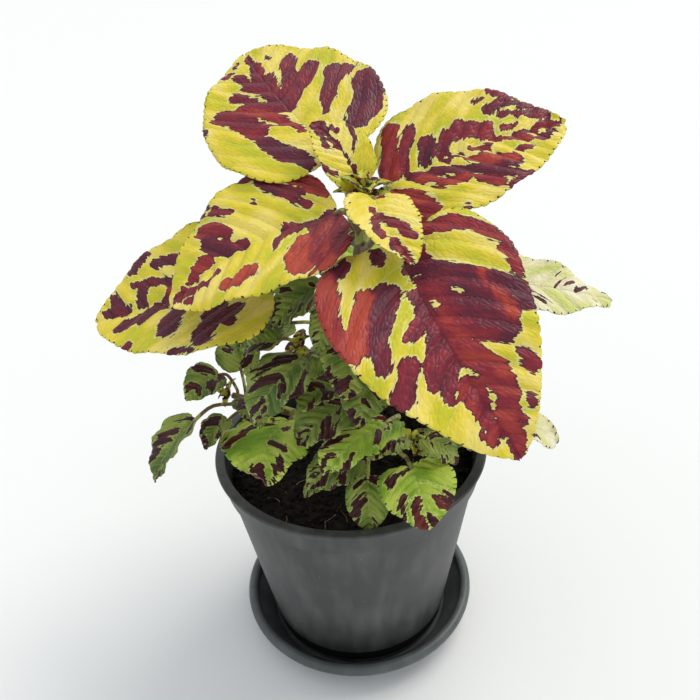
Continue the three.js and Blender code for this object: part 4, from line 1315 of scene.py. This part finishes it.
@dataclass
class Soil:
    """The potting mix: one uneven body, with crumbs and a few fibres lying loose on it."""

    rings: int = 60
    steps: int = 150
    unevenness: float = 1.6
    level: float = 97.0  # litter lies only higher than this
    crumbs: float = 230_000.0  # on a square metre
    fibres: float = 9_000.0

    def body(self, material: bpy.types.Material) -> bpy.types.Object:
        """Build the body of the potting mix, lumpy on top.

        Args:
            material: The potting mix.

        Returns:
            The finished piece.
        """
        low, high = (Vector(corner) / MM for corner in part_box("soil"))
        rim = high.x
        mean = high.z - self.unevenness
        share = np.linspace(1, 0.012, self.rings)
        radius = rim * share ** 0.9
        angle = np.arange(self.steps) * 2 * np.pi / self.steps
        x = radius[:, None] * np.cos(angle)[None, :]
        y = radius[:, None] * np.sin(angle)[None, :]
        lumps = 1.3 * value_noise(x / 13, y / 13, 3) + 0.9 * value_noise(x / 5, y / 5, 4)
        lumps = lumps + 0.6 * value_noise(x / 2.2, y / 2.2, 6)
        shrunk = -2.2 * smoothstep(0.93, 1.0, share)[:, None]
        z = mean + lumps + shrunk
        top = np.stack([x, y, z], axis=-1).reshape(-1, 3)
        foot_radius = rim - 13.5
        foot = np.stack([foot_radius * np.cos(angle), foot_radius * np.sin(angle),
                         np.full(self.steps, low.z)], axis=1)
        shoulder_radius = rim - 0.8
        shoulder = np.stack([shoulder_radius * np.cos(angle), shoulder_radius * np.sin(angle),
                             np.full(self.steps, self.level - 1)], axis=1)
        points = np.concatenate([foot, shoulder, top, [[0, 0, low.z], [0, 0, float(z[-1].mean())]]])
        faces = []
        for ring in range(self.rings + 1):
            for k in range(self.steps):
                after = (k + 1) % self.steps
                here, next_ring = ring * self.steps, (ring + 1) * self.steps
                faces.append([here + k, here + after, next_ring + after, next_ring + k])
        last = (self.rings + 1) * self.steps
        for k in range(self.steps):
            after = (k + 1) % self.steps
            faces.append([after, k, len(points) - 2])
            faces.append([last + k, last + after, len(points) - 1])
        return make_piece("potting_mix", points, faces, [material])

    @staticmethod
    def litter_tree() -> bpy.types.NodeTree:
        """Make the tree that strews copies of its instance over the upper part of a surface.

        Returns:
            The tree. Its Fibres input chooses curved fibres instead of crumbs.
        """
        tree, given, result = geometry_tree(
            "litter", Above="NodeSocketFloat", Density="NodeSocketFloat",
            Fibres="NodeSocketBool", Small="NodeSocketFloat",
            Large="NodeSocketFloat", Seed="NodeSocketInt", Material="NodeSocketMaterial")
        seed = given.outputs["Seed"]
        place = add(tree, "GeometryNodeInputPosition")
        upper = add(tree, "ShaderNodeSeparateXYZ", {0: place})
        upper = add(tree, "FunctionNodeCompare", {0: upper.outputs[2], 1: given.outputs["Above"]},
                    data_type="FLOAT", operation="GREATER_THAN")
        points = add(tree, "GeometryNodeDistributePointsOnFaces", {
            "Mesh": given.outputs["Geometry"], "Selection": upper, "Density": given.outputs["Density"],
            "Seed": seed})
        crumb = add(tree, "GeometryNodeMeshIcoSphere", {"Radius": 1.0, "Subdivisions": 1})
        bend = add(tree, "GeometryNodeCurveQuadraticBezier", {
            "Resolution": 5, "Start": (-4, 0, 0.2), "Middle": (0, 2.4, 1.4), "End": (4, 0, 0)})
        strand = add(tree, "GeometryNodeCurvePrimitiveCircle", {0: 4, 4: 0.17})
        strand = add(tree, "GeometryNodeCurveToMesh", {0: bend, 1: strand, 3: True})
        kind = add(tree, "GeometryNodeSwitch", {"Switch": given.outputs["Fibres"], "False": crumb,
                                                "True": strand}, input_type="GEOMETRY")
        turn = add(tree, "FunctionNodeRandomValue", {0: (-0.5, -0.5, 0.0), 1: (0.5, 0.5, math.tau), 8: seed},
                   data_type="FLOAT_VECTOR")
        turn = add(tree, "FunctionNodeEulerToRotation", {0: turn})
        size = add(tree, "FunctionNodeRandomValue", {2: 0.0, 3: 1.0, 8: seed}, data_type="FLOAT")
        size = add(tree, "ShaderNodeMath", {0: size.outputs[1], 1: 2.6}, operation="POWER")
        size = add(tree, "ShaderNodeMapRange", {0: size, 3: given.outputs["Small"],
                                                4: given.outputs["Large"]})
        litter = add(tree, "GeometryNodeInstanceOnPoints", {
            "Points": points, "Instance": kind, "Rotation": turn, "Scale": size})
        litter = add(tree, "GeometryNodeRealizeInstances", {0: litter})
        rough = add(tree, "ShaderNodeTexNoise", {0: place, "Scale": 1 / (1.6 * MM), "Detail": 1.0})
        rough = add(tree, "ShaderNodeVectorMath", {0: rough.outputs["Color"], 1: (0.5, 0.5, 0.5)},
                    operation="SUBTRACT")
        rough = add(tree, "ShaderNodeVectorMath", {0: rough, "Scale": 1.5 * MM}, operation="SCALE")
        litter = add(tree, "GeometryNodeSetPosition", {0: litter, "Offset": rough})
        litter = add(tree, "GeometryNodeSetMaterial", {0: litter, 2: given.outputs["Material"]})
        tree.links.new(litter.outputs[0], result.inputs[0])
        return tree

    def litter(self, name: str, body: bpy.types.Object, tree: bpy.types.NodeTree,
               material: bpy.types.Material, **values: object) -> bpy.types.Object:
        """Strew crumbs or fibres over the body.

        Args:
            name: The piece's name.
            body: The potting mix that it lies on.
            tree: The tree from litter_tree().
            material: The litter's material.
            values: The tree's inputs by name.

        Returns:
            The finished piece.
        """
        piece = bpy.data.objects.new(name, body.data.copy())
        bpy.context.scene.collection.objects.link(piece)
        return grown(piece, tree, Material=material, Above=self.level * MM, **values)


# ---- Studio ------------------------------------------------------------------------------------------


@dataclass
class Studio:
    """A pale floor, soft light from the right and back, and the camera."""

    eye: tuple[float, float, float] = (0.0, -292.5, 339.5)
    pitch: float = 30.04  # downwards, in degrees
    yaw: float = 0.52  # to the right
    roll: float = -3.37
    focal_length: float = 36.0
    sensor: float = 36.0

    def camera(self) -> bpy.types.Object:
        """Make the camera and use it.

        Returns:
            The camera.
        """
        pitch, yaw, roll = (math.radians(a) for a in (self.pitch, self.yaw, self.roll))
        forward = Vector((math.sin(yaw) * math.cos(pitch), math.cos(yaw) * math.cos(pitch), -math.sin(pitch)))
        level = Vector((math.cos(yaw), -math.sin(yaw), 0))
        upright = level.cross(forward)
        right = level * math.cos(roll) + upright * math.sin(roll)
        up = upright * math.cos(roll) - level * math.sin(roll)
        data = bpy.data.cameras.new("camera")
        data.lens = self.focal_length
        data.sensor_width = self.sensor
        camera = bpy.data.objects.new("camera", data)
        camera.matrix_world = Matrix.Translation(Vector(self.eye) * MM) @ Matrix(
            (right, up, -forward)).transposed().to_4x4()
        bpy.context.scene.collection.objects.link(camera)
        bpy.context.scene.camera = camera
        return camera

    def lamp(self, name: str, place: tuple[float, float, float], spread: float, strength: float,
             colour: str) -> bpy.types.Object:
        """Light the whole set evenly from one side, as a large and distant softbox does.

        Args:
            name: The lamp's name.
            place: The side that it shines from.
            spread: How wide it looks from the plant, in degrees.
            strength: Its power in watts on a square metre.
            colour: Its colour.

        Returns:
            The lamp.
        """
        data = bpy.data.lights.new(name, "SUN")
        data.angle = math.radians(spread)
        data.energy = strength
        data.color = linear(colour)[:3]
        lamp = bpy.data.objects.new(name, data)
        lamp.rotation_euler = (-Vector(place)).to_track_quat("-Z", "Y").to_euler()
        bpy.context.scene.collection.objects.link(lamp)
        return lamp

    def build(self) -> None:
        """Set up the floor, the light and the camera."""
        self.camera()
        scene = bpy.context.scene
        scene.view_settings.view_transform = "Standard"
        world = bpy.data.worlds.new("studio")
        world.use_nodes = True
        surround = world.node_tree.nodes["Background"]
        surround.inputs["Color"].default_value = linear("#f4f8fb")
        surround.inputs["Strength"].default_value = 0.8
        scene.world = world
        self.lamp("key_softbox", (0.75, 0.45, 1.25), 38.0, 1.5, "#fffaf2")
        bpy.ops.mesh.primitive_plane_add(size=14, location=(0, 3, -0.0002))
        floor = bpy.context.object
        floor.name = "studio_floor"
        material, tree = new_material("white_paper_sweep")
        shader = add(tree, "ShaderNodeBsdfPrincipled", {"Base Color": linear("#f2f3f3"), "Roughness": 0.8,
                                                        "Specular IOR Level": 0.2})
        add(tree, "ShaderNodeOutputMaterial", {0: shader})
        floor.data.materials.append(material)


# ---- The plant ---------------------------------------------------------------------------------------

LOOKS = {
    "leaf_upper_back": LeafLook(Skin.BRIGHT, (
        Stroke(((0.42, 0.04), (0.5, 0.22), (0.58, 0.55)), 4.0, 5.5, 0.35),
        Stroke(((0.5, 0.22), (0.62, 0.3), (0.74, 0.55)), 4.5, 4.5, 0.3),
        Stroke(((0.25, 0.3), (0.37, 0.49), (0.47, 0.72)), 1.6, 6.5, 0.2),
        Stroke(((0.46, 0.7), (0.44, 0.88)), 5.0, 3.0, 0.2),
        Stroke(((0.12, 0.57), (0.2, 0.75), (0.3, 0.9)), 5.5, 6.5, 0.15),
        Stroke(((0.5, -0.03), (0.62, -0.08), (0.78, -0.05), (0.92, 0.0)), 5.5, 2.6, 0.3),
        Stroke(((0.62, 0.0), (0.7, 0.13)), 3.0, 2.6, 0.35),
        Stroke(((0.45, -0.08), (0.55, -0.3), (0.65, -0.5)), 4.2, 3.2, 0.3),
        Stroke(((0.62, -0.1), (0.7, -0.27), (0.8, -0.38)), 3.4, 3.0, 0.25),
        Stroke(((0.36, -0.45), (0.46, -0.52), (0.56, -0.74)), 6.0, 5.0, 0.35),
        Stroke(((0.24, -0.06), (0.4, -0.2), (0.53, -0.44)), 2.2, 4.4, 0.6),
        Stroke(((0.26, -0.48), (0.15, -0.45), (0.05, -0.47)), 4.4, 4.4, 0.05),
        Stroke(((0.86, -0.75), (0.87, -0.7)), 2.2, 2.2, 0.25),
        Stroke(((0.9, -0.55), (0.93, -0.5)), 1.8, 1.8, 0.25),
        Stroke(((0.5, -0.97), (0.53, -0.98)), 1.8, 1.8, 0.1),
        Stroke(((0.83, 0.4), (0.86, 0.45)), 1.6, 1.6, 0.2),
    ), seed=11, random=0),
    "leaf_upper_right": LeafLook(Skin.BRIGHT, (
        Stroke(((0.03, -0.3), (0.1, -0.55), (0.15, -0.83)), 3.4, 3.6, 0.6),
        Stroke(((0.12, -0.15), (0.17, -0.4), (0.24, -0.65)), 2.6, 3.0, 0.35),
        Stroke(((0.05, -0.2), (0.1, -0.4)), 4.0, 3.0, 0.6),
        Stroke(((0.23, -0.08), (0.28, -0.28)), 3.4, 4.2, 0.1),
        Stroke(((0.32, -0.08), (0.38, -0.25), (0.47, -0.3), (0.57, -0.2)), 3.4, 4.8, 0.4),
        Stroke(((0.4, -0.25), (0.46, -0.42)), 3.0, 1.6, 0.3),
        Stroke(((0.13, 0.03), (0.22, 0.14), (0.32, 0.25), (0.45, 0.43), (0.59, 0.78)), 1.6, 3.6, 0.1),
        Stroke(((0.42, 0.18), (0.5, 0.3), (0.62, 0.55)), 2.4, 3.8, 0.7),
        Stroke(((0.6, 0.0), (0.68, 0.12), (0.76, 0.25)), 1.8, 2.2, 0.55),
        Stroke(((0.47, 0.05), (0.56, 0.12)), 1.8, 1.7, 0.45),
        Stroke(((0.35, 0.05), (0.42, 0.08)), 2.2, 1.6, 0.35),
        Stroke(((0.64, -0.55), (0.72, -0.68), (0.82, -0.8), (0.92, -0.62)), 2.8, 2.6, 0.15),
        Stroke(((0.7, -0.95), (0.8, -0.9), (0.9, -0.8)), 2.0, 1.8, 0.3),
        Stroke(((0.71, -0.45), (0.8, -0.5), (0.9, -0.42)), 2.4, 1.6, 0.3),
        Stroke(((0.6, -0.72), (0.64, -0.78)), 1.1, 1.1, 0.3),
        Stroke(((0.68, -0.15), (0.75, -0.2)), 2.0, 1.4, 0.5),
        Stroke(((0.72, 0.03), (0.8, 0.05), (0.88, -0.12), (0.96, 0.0)), 2.2, 2.0, 0.4),
        Stroke(((0.83, 0.42), (0.92, 0.3)), 2.2, 1.4, 0.1),
        Stroke(((0.18, 0.15), (0.26, 0.38), (0.37, 0.5)), 3.0, 2.4, 0.65),
        Stroke(((0.02, 0.3), (0.1, 0.45), (0.16, 0.75)), 2.0, 4.8, 0.65),
        Stroke(((0.12, 0.93), (0.14, 0.93)), 2.6, 2.4, 0.6),
        Stroke(((0.43, 0.6), (0.52, 0.78)), 2.6, 3.2, 0.65),
        Stroke(((0.58, 0.55), (0.64, 0.68)), 3.4, 2.8, 0.2),
        Stroke(((0.56, 0.97), (0.68, 0.97)), 1.6, 1.4, 0.3),
        Stroke(((0.68, 0.4), (0.77, 0.5)), 1.4, 1.4, 0.3),
        Stroke(((0.31, 0.93), (0.32, 0.93)), 1.3, 1.3, 0.1),
    ), seed=12),
    "leaf_upper_left": LeafLook(Skin.BRIGHT, (
        Stroke(((0.37, 0.97), (0.27, 0.93), (0.18, 0.85)), 2.4, 5.0, 0.1),
        Stroke(((0.18, 0.82), (0.1, 0.78), (0.03, 0.62)), 4.8, 4.4, 0.75),
        Stroke(((0.28, 0.85), (0.26, 0.65), (0.2, 0.56), (0.14, 0.47)), 3.6, 2.8, 0.15),
        Stroke(((0.57, 0.8), (0.5, 0.62)), 2.8, 2.6, 0.4),
        Stroke(((0.18, 0.36), (0.12, 0.27)), 1.9, 1.9, 0.35),
        Stroke(((0.36, 0.53), (0.37, 0.53)), 1.0, 1.0, 0.3),
        Stroke(((0.68, 0.72), (0.62, 0.6), (0.56, 0.36)), 3.6, 3.6, 0.55),
        Stroke(((0.66, 0.5), (0.64, 0.25), (0.58, 0.1), (0.51, 0.03)), 4.6, 2.4, 0.08),
        Stroke(((0.7, 0.2), (0.78, 0.22), (0.83, 0.1)), 2.8, 2.6, 0.5),
        Stroke(((0.03, -0.1), (0.12, -0.12), (0.2, -0.1), (0.28, -0.03)), 4.8, 3.0, 0.25),
        Stroke(((0.03, -0.35), (0.08, -0.6), (0.12, -0.8)), 5.5, 5.5, 0.4),
        Stroke(((0.1, -0.3), (0.16, -0.5), (0.22, -0.75)), 6.0, 6.0, 0.45),
        Stroke(((0.22, -0.42), (0.28, -0.58), (0.3, -0.8)), 5.2, 5.8, 0.95),
        Stroke(((0.14, -0.65), (0.2, -0.85)), 5.0, 5.0, 0.75),
        Stroke(((0.27, -0.08), (0.33, -0.15), (0.37, -0.3)), 2.8, 1.4, 0.3),
        Stroke(((0.68, -0.2), (0.76, -0.28), (0.86, -0.2), (0.93, -0.1)), 1.8, 2.8, 0.35),
        Stroke(((0.53, -0.55), (0.6, -0.65), (0.67, -0.62)), 4.2, 2.8, 0.85),
        Stroke(((0.9, 0.1), (0.94, 0.1)), 1.4, 1.2, 0.4),
        Stroke(((0.86, -0.55), (0.9, -0.6)), 1.5, 1.3, 0.3),
        Stroke(((0.6, 0.97), (0.63, 0.98)), 1.4, 1.4, 0.1),
    ), seed=13),
    "leaf_upper_front": LeafLook(Skin.BRIGHT, (
        Stroke(((0.02, -0.5), (0.1, -0.75), (0.18, -0.9), (0.28, -0.96), (0.4, -0.96)), 3.6, 2.6, 0.5),
        Stroke(((0.11, -0.2), (0.1, -0.28)), 2.2, 2.6, 0.4),
        Stroke(((0.14, -0.08), (0.24, -0.3), (0.36, -0.48), (0.48, -0.58), (0.6, -0.64)), 5.0, 4.6, 0.12),
        Stroke(((0.22, -0.06), (0.34, -0.2), (0.46, -0.36), (0.56, -0.5)), 2.6, 5.2, 0.3),
        Stroke(((0.36, -0.58), (0.46, -0.66), (0.55, -0.72)), 2.6, 2.6, 0.8),
        Stroke(((0.4, -0.7), (0.46, -0.86), (0.52, -0.93)), 3.6, 5.0, 0.12),
        Stroke(((0.43, -0.68), (0.52, -0.82)), 2.0, 2.0, 0.75),
        Stroke(((0.3, 0.04), (0.42, 0.06), (0.52, 0.12), (0.62, 0.24), (0.72, 0.4)), 4.2, 3.0, 0.3),
        Stroke(((0.4, 0.1), (0.45, 0.25), (0.46, 0.33)), 3.6, 2.4, 0.4),
        Stroke(((0.5, 0.02), (0.6, 0.1), (0.66, 0.3)), 5.8, 4.4, 0.35),
        Stroke(((0.56, 0.22), (0.62, 0.34), (0.66, 0.42)), 3.4, 2.8, 0.3),
        Stroke(((0.5, -0.04), (0.58, -0.12), (0.68, -0.3), (0.78, -0.4), (0.86, -0.25)), 5.4, 4.4, 0.6),
        Stroke(((0.42, -0.12), (0.5, -0.25), (0.56, -0.36)), 3.2, 3.6, 0.5),
        Stroke(((0.1, 0.88), (0.2, 0.9), (0.32, 0.92), (0.44, 0.95)), 4.2, 4.6, 0.78),
        Stroke(((0.07, 0.75), (0.12, 0.85)), 3.4, 2.8, 0.1),
        Stroke(((0.24, 0.3), (0.34, 0.47), (0.44, 0.64), (0.53, 0.74)), 5.4, 3.4, 0.1),
        Stroke(((0.24, 0.5), (0.32, 0.64), (0.42, 0.78)), 4.0, 4.4, 0.95),
        Stroke(((0.56, 0.48), (0.62, 0.66), (0.66, 0.84)), 3.2, 4.6, 0.3),
        Stroke(((0.7, 0.06), (0.76, 0.12), (0.8, 0.05)), 3.4, 3.4, 0.45),
        Stroke(((0.82, 0.12), (0.88, 0.18), (0.9, 0.1)), 3.4, 2.8, 0.5),
        Stroke(((0.72, -0.04), (0.78, -0.03)), 2.6, 2.6, 0.5),
        Stroke(((0.88, -0.2), (0.93, -0.3), (0.96, -0.2)), 3.4, 2.4, 0.45),
        Stroke(((0.94, 0.0), (0.99, 0.0)), 2.2, 1.8, 0.3),
        Stroke(((0.88, 0.5), (0.92, 0.3)), 1.9, 1.9, 0.5),
        Stroke(((0.68, -0.72), (0.74, -0.88)), 2.2, 2.4, 0.35),
        Stroke(((0.83, -0.8), (0.86, -0.82)), 2.0, 2.0, 0.3),
        Stroke(((0.87, -0.5), (0.9, -0.62)), 1.9, 1.9, 0.5),
        Stroke(((0.03, 0.35), (0.08, 0.3)), 2.8, 2.4, 0.1),
    ), seed=14),
    "leaf_middle_left": LeafLook(Skin.BRIGHT, (
        Stroke(((0.7, 0.93), (0.78, 0.86)), 2.4, 2.8, 0.05),
        Stroke(((0.65, 0.68), (0.58, 0.62), (0.53, 0.58)), 2.8, 2.8, 0.0),
        Stroke(((0.53, 0.3), (0.65, 0.38), (0.78, 0.55)), 2.4, 1.3, 0.1),
        Stroke(((0.72, 0.26), (0.73, 0.08)), 3.4, 3.0, 0.05),
        Stroke(((0.9, 0.7), (0.88, 0.4), (0.85, 0.15)), 2.6, 3.2, 0.1),
        Stroke(((0.93, 0.3), (0.86, 0.1), (0.8, 0.05)), 2.8, 3.2, 0.1),
        Stroke(((0.82, -0.5), (0.72, -0.3), (0.62, -0.1), (0.56, -0.02)), 3.2, 5.0, 0.05),
        Stroke(((0.48, -0.1), (0.5, -0.35), (0.52, -0.6)), 5.0, 5.0, 0.02),
        Stroke(((0.27, -0.2), (0.3, -0.5), (0.33, -0.78)), 4.2, 5.4, 0.02),
        Stroke(((0.17, -0.3), (0.22, -0.6)), 2.8, 2.8, 0.1),
        Stroke(((0.38, -0.93), (0.48, -0.95)), 1.8, 1.8, 0.05),
        Stroke(((0.74, -0.9), (0.75, -0.95)), 2.2, 2.2, 0.2),
        Stroke(((0.55, 0.15), (0.5, 0.05), (0.46, 0.1)), 2.4, 2.2, 0.6),
        Stroke(((0.3, 0.3), (0.4, 0.5)), 4.0, 4.0, 0.2),
    ), seed=15),
    "leaf_top_small_back": LeafLook(Skin.BRIGHT, (
        Stroke(((0.02, 0.0), (0.5, 0.02), (0.95, 0.0)), 1.1, 2.0, 0.2),
        Stroke(((0.72, 0.4), (0.9, 0.2)), 1.6, 1.6, 0.2),
        Stroke(((0.6, -0.45), (0.88, -0.2)), 1.6, 1.8, 0.25),
    ), seed=16, random=4, bold=0.8),
    "leaf_top_small_front": LeafLook(Skin.BRIGHT, (
        Stroke(((0.3, 0.1), (0.5, -0.3), (0.7, -0.6)), 2.6, 2.4, 0.35),
        Stroke(((0.45, 0.2), (0.65, 0.5)), 2.0, 2.4, 0.3),
        Stroke(((0.7, 0.0), (0.95, 0.0)), 2.0, 1.6, 0.45),
    ), seed=17, random=5),
    "leaf_middle_right": LeafLook(Skin.CREAM, seed=18, random=9, bold=0.5, wave=0.12),
    "leaf_lower_right": LeafLook(Skin.CREAM, seed=19, random=8, bold=0.5, wave=0.1),
}

# Leaves in the light take the lime skin; the others take the olive one, darker as painted shade.
SUNLIT = ("front_right_shoot_leaf_front", "left_shoot_leaf_broad", "front_right_shoot_leaf_broad",
          "right_shoot_leaf_front", "right_shoot_leaf_broad", "leaf_middle_back")  # lime rather than olive

ROSETTES = (
    Rosette("growing_tip_main", 7, 17.0, 9.0, 1),
    Rosette("growing_tip_left", 5, 8.0, 5.0, 2),
    Rosette("growing_tip_front_left", 5, 8.5, 5.0, 3),
    Rosette("growing_tip_front_right", 5, 9.5, 5.0, 4),
    Rosette("growing_tip_right", 5, 8.0, 5.0, 5),
    Rosette("growing_tip_back", 5, 8.0, 5.0, 6),
)


def look_of(node: str) -> LeafLook:
    """Give a leaf its look: its own, or a seeded one, lime in the light and olive, darker as painted shade,
    out of it.
    """
    if node in LOOKS:
        return LOOKS[node]
    seed = 20 + sum(ord(letter) * (place + 1) for place, letter in enumerate(node)) % 400
    # Painted shade: the leaves out of the light get the darker olive skin.
    skin = Skin.LIME if node in SUNLIT else Skin.OLIVE_PAINTED_SHADE
    return LeafLook(skin, seed=seed, random=13, bold=0.85, wave=0.09)


def main() -> None:
    """Build the potted coleus and its studio, piece by piece."""
    logging.basicConfig(level=logging.INFO, format="%(message)s")
    Studio().build()
    pot_plastic = MouldedPolypropylene("moulded_polypropylene_matt", "#3a3b3b", "#5d5e5c", 0.44).material()
    saucer_plastic = MouldedPolypropylene("moulded_polypropylene_satin", "#484d4d", "#5f6464", 0.38,
                                          specks=0.25).material()
    declare(Pot().build(pot_plastic), "pot_plastic", "pot")
    declare(Saucer().build(saucer_plastic), "saucer_plastic", "saucer")

    soil = Soil()
    mix = PottingMix("damp_peat").material()
    body = soil.body(mix)
    litter = soil.litter_tree()
    crumbs = soil.litter("loose_crumbs", body, litter, mix, Density=soil.crumbs, Small=0.35 * MM,
                         Large=1.9 * MM, Seed=5)
    fibres = soil.litter("loose_fibres", body, litter, DryFibre().material(), Density=soil.fibres,
                         Fibres=True, Small=0.5 * MM, Large=1.5 * MM, Seed=8)
    declare(body, "potting_mix", "soil")
    declare(crumbs, "potting_mix")
    declare(fibres, "potting_mix")

    tube = tube_tree()
    stems = Stems()
    lines = stems.lines()
    green = YoungStem("young_coleus_stem").material()
    for name, (line, radius) in lines.items():
        declare(stems.build(name, line, radius, tube, green), "green_stem", name)

    pairs = Rosette.tree()
    leaflet_skin = LeafletSkin("unopened_coleus_leaflet", ("#a9b32e", "#d3cf3c"),
                               ("#43161f", "#7a2530"), 0.5).material()
    for rosette in ROSETTES:
        stem = rosette.node.replace("growing_tip_main", "main_stem").replace("growing_tip", "side_shoot")
        declare(rosette.build(pairs, lines[stem][0], leaflet_skin), "growing_tip", rosette.node)

    skins = {skin: skin.value.material() for skin in Skin}
    petiole = YoungStem("coleus_petiole", green="#a3ab45", pale="#c6c578", flushed=0.45).material()
    centre_lines = [line for line, _ in lines.values()]
    slots = {entry["node"]: entry["material_slot"] for entry in frame["record"]["subparts"]}
    for node in sorted(n for n in frame["nodes"] if "leaf" in n):
        look = look_of(node)
        leaf = Leaf(node, look)
        piece = leaf.build(tube, centre_lines, [skins[look.skin], skins[Skin.PALE], petiole])
        declare(piece, slots[node], node)


if __name__ == "__main__":
    main()
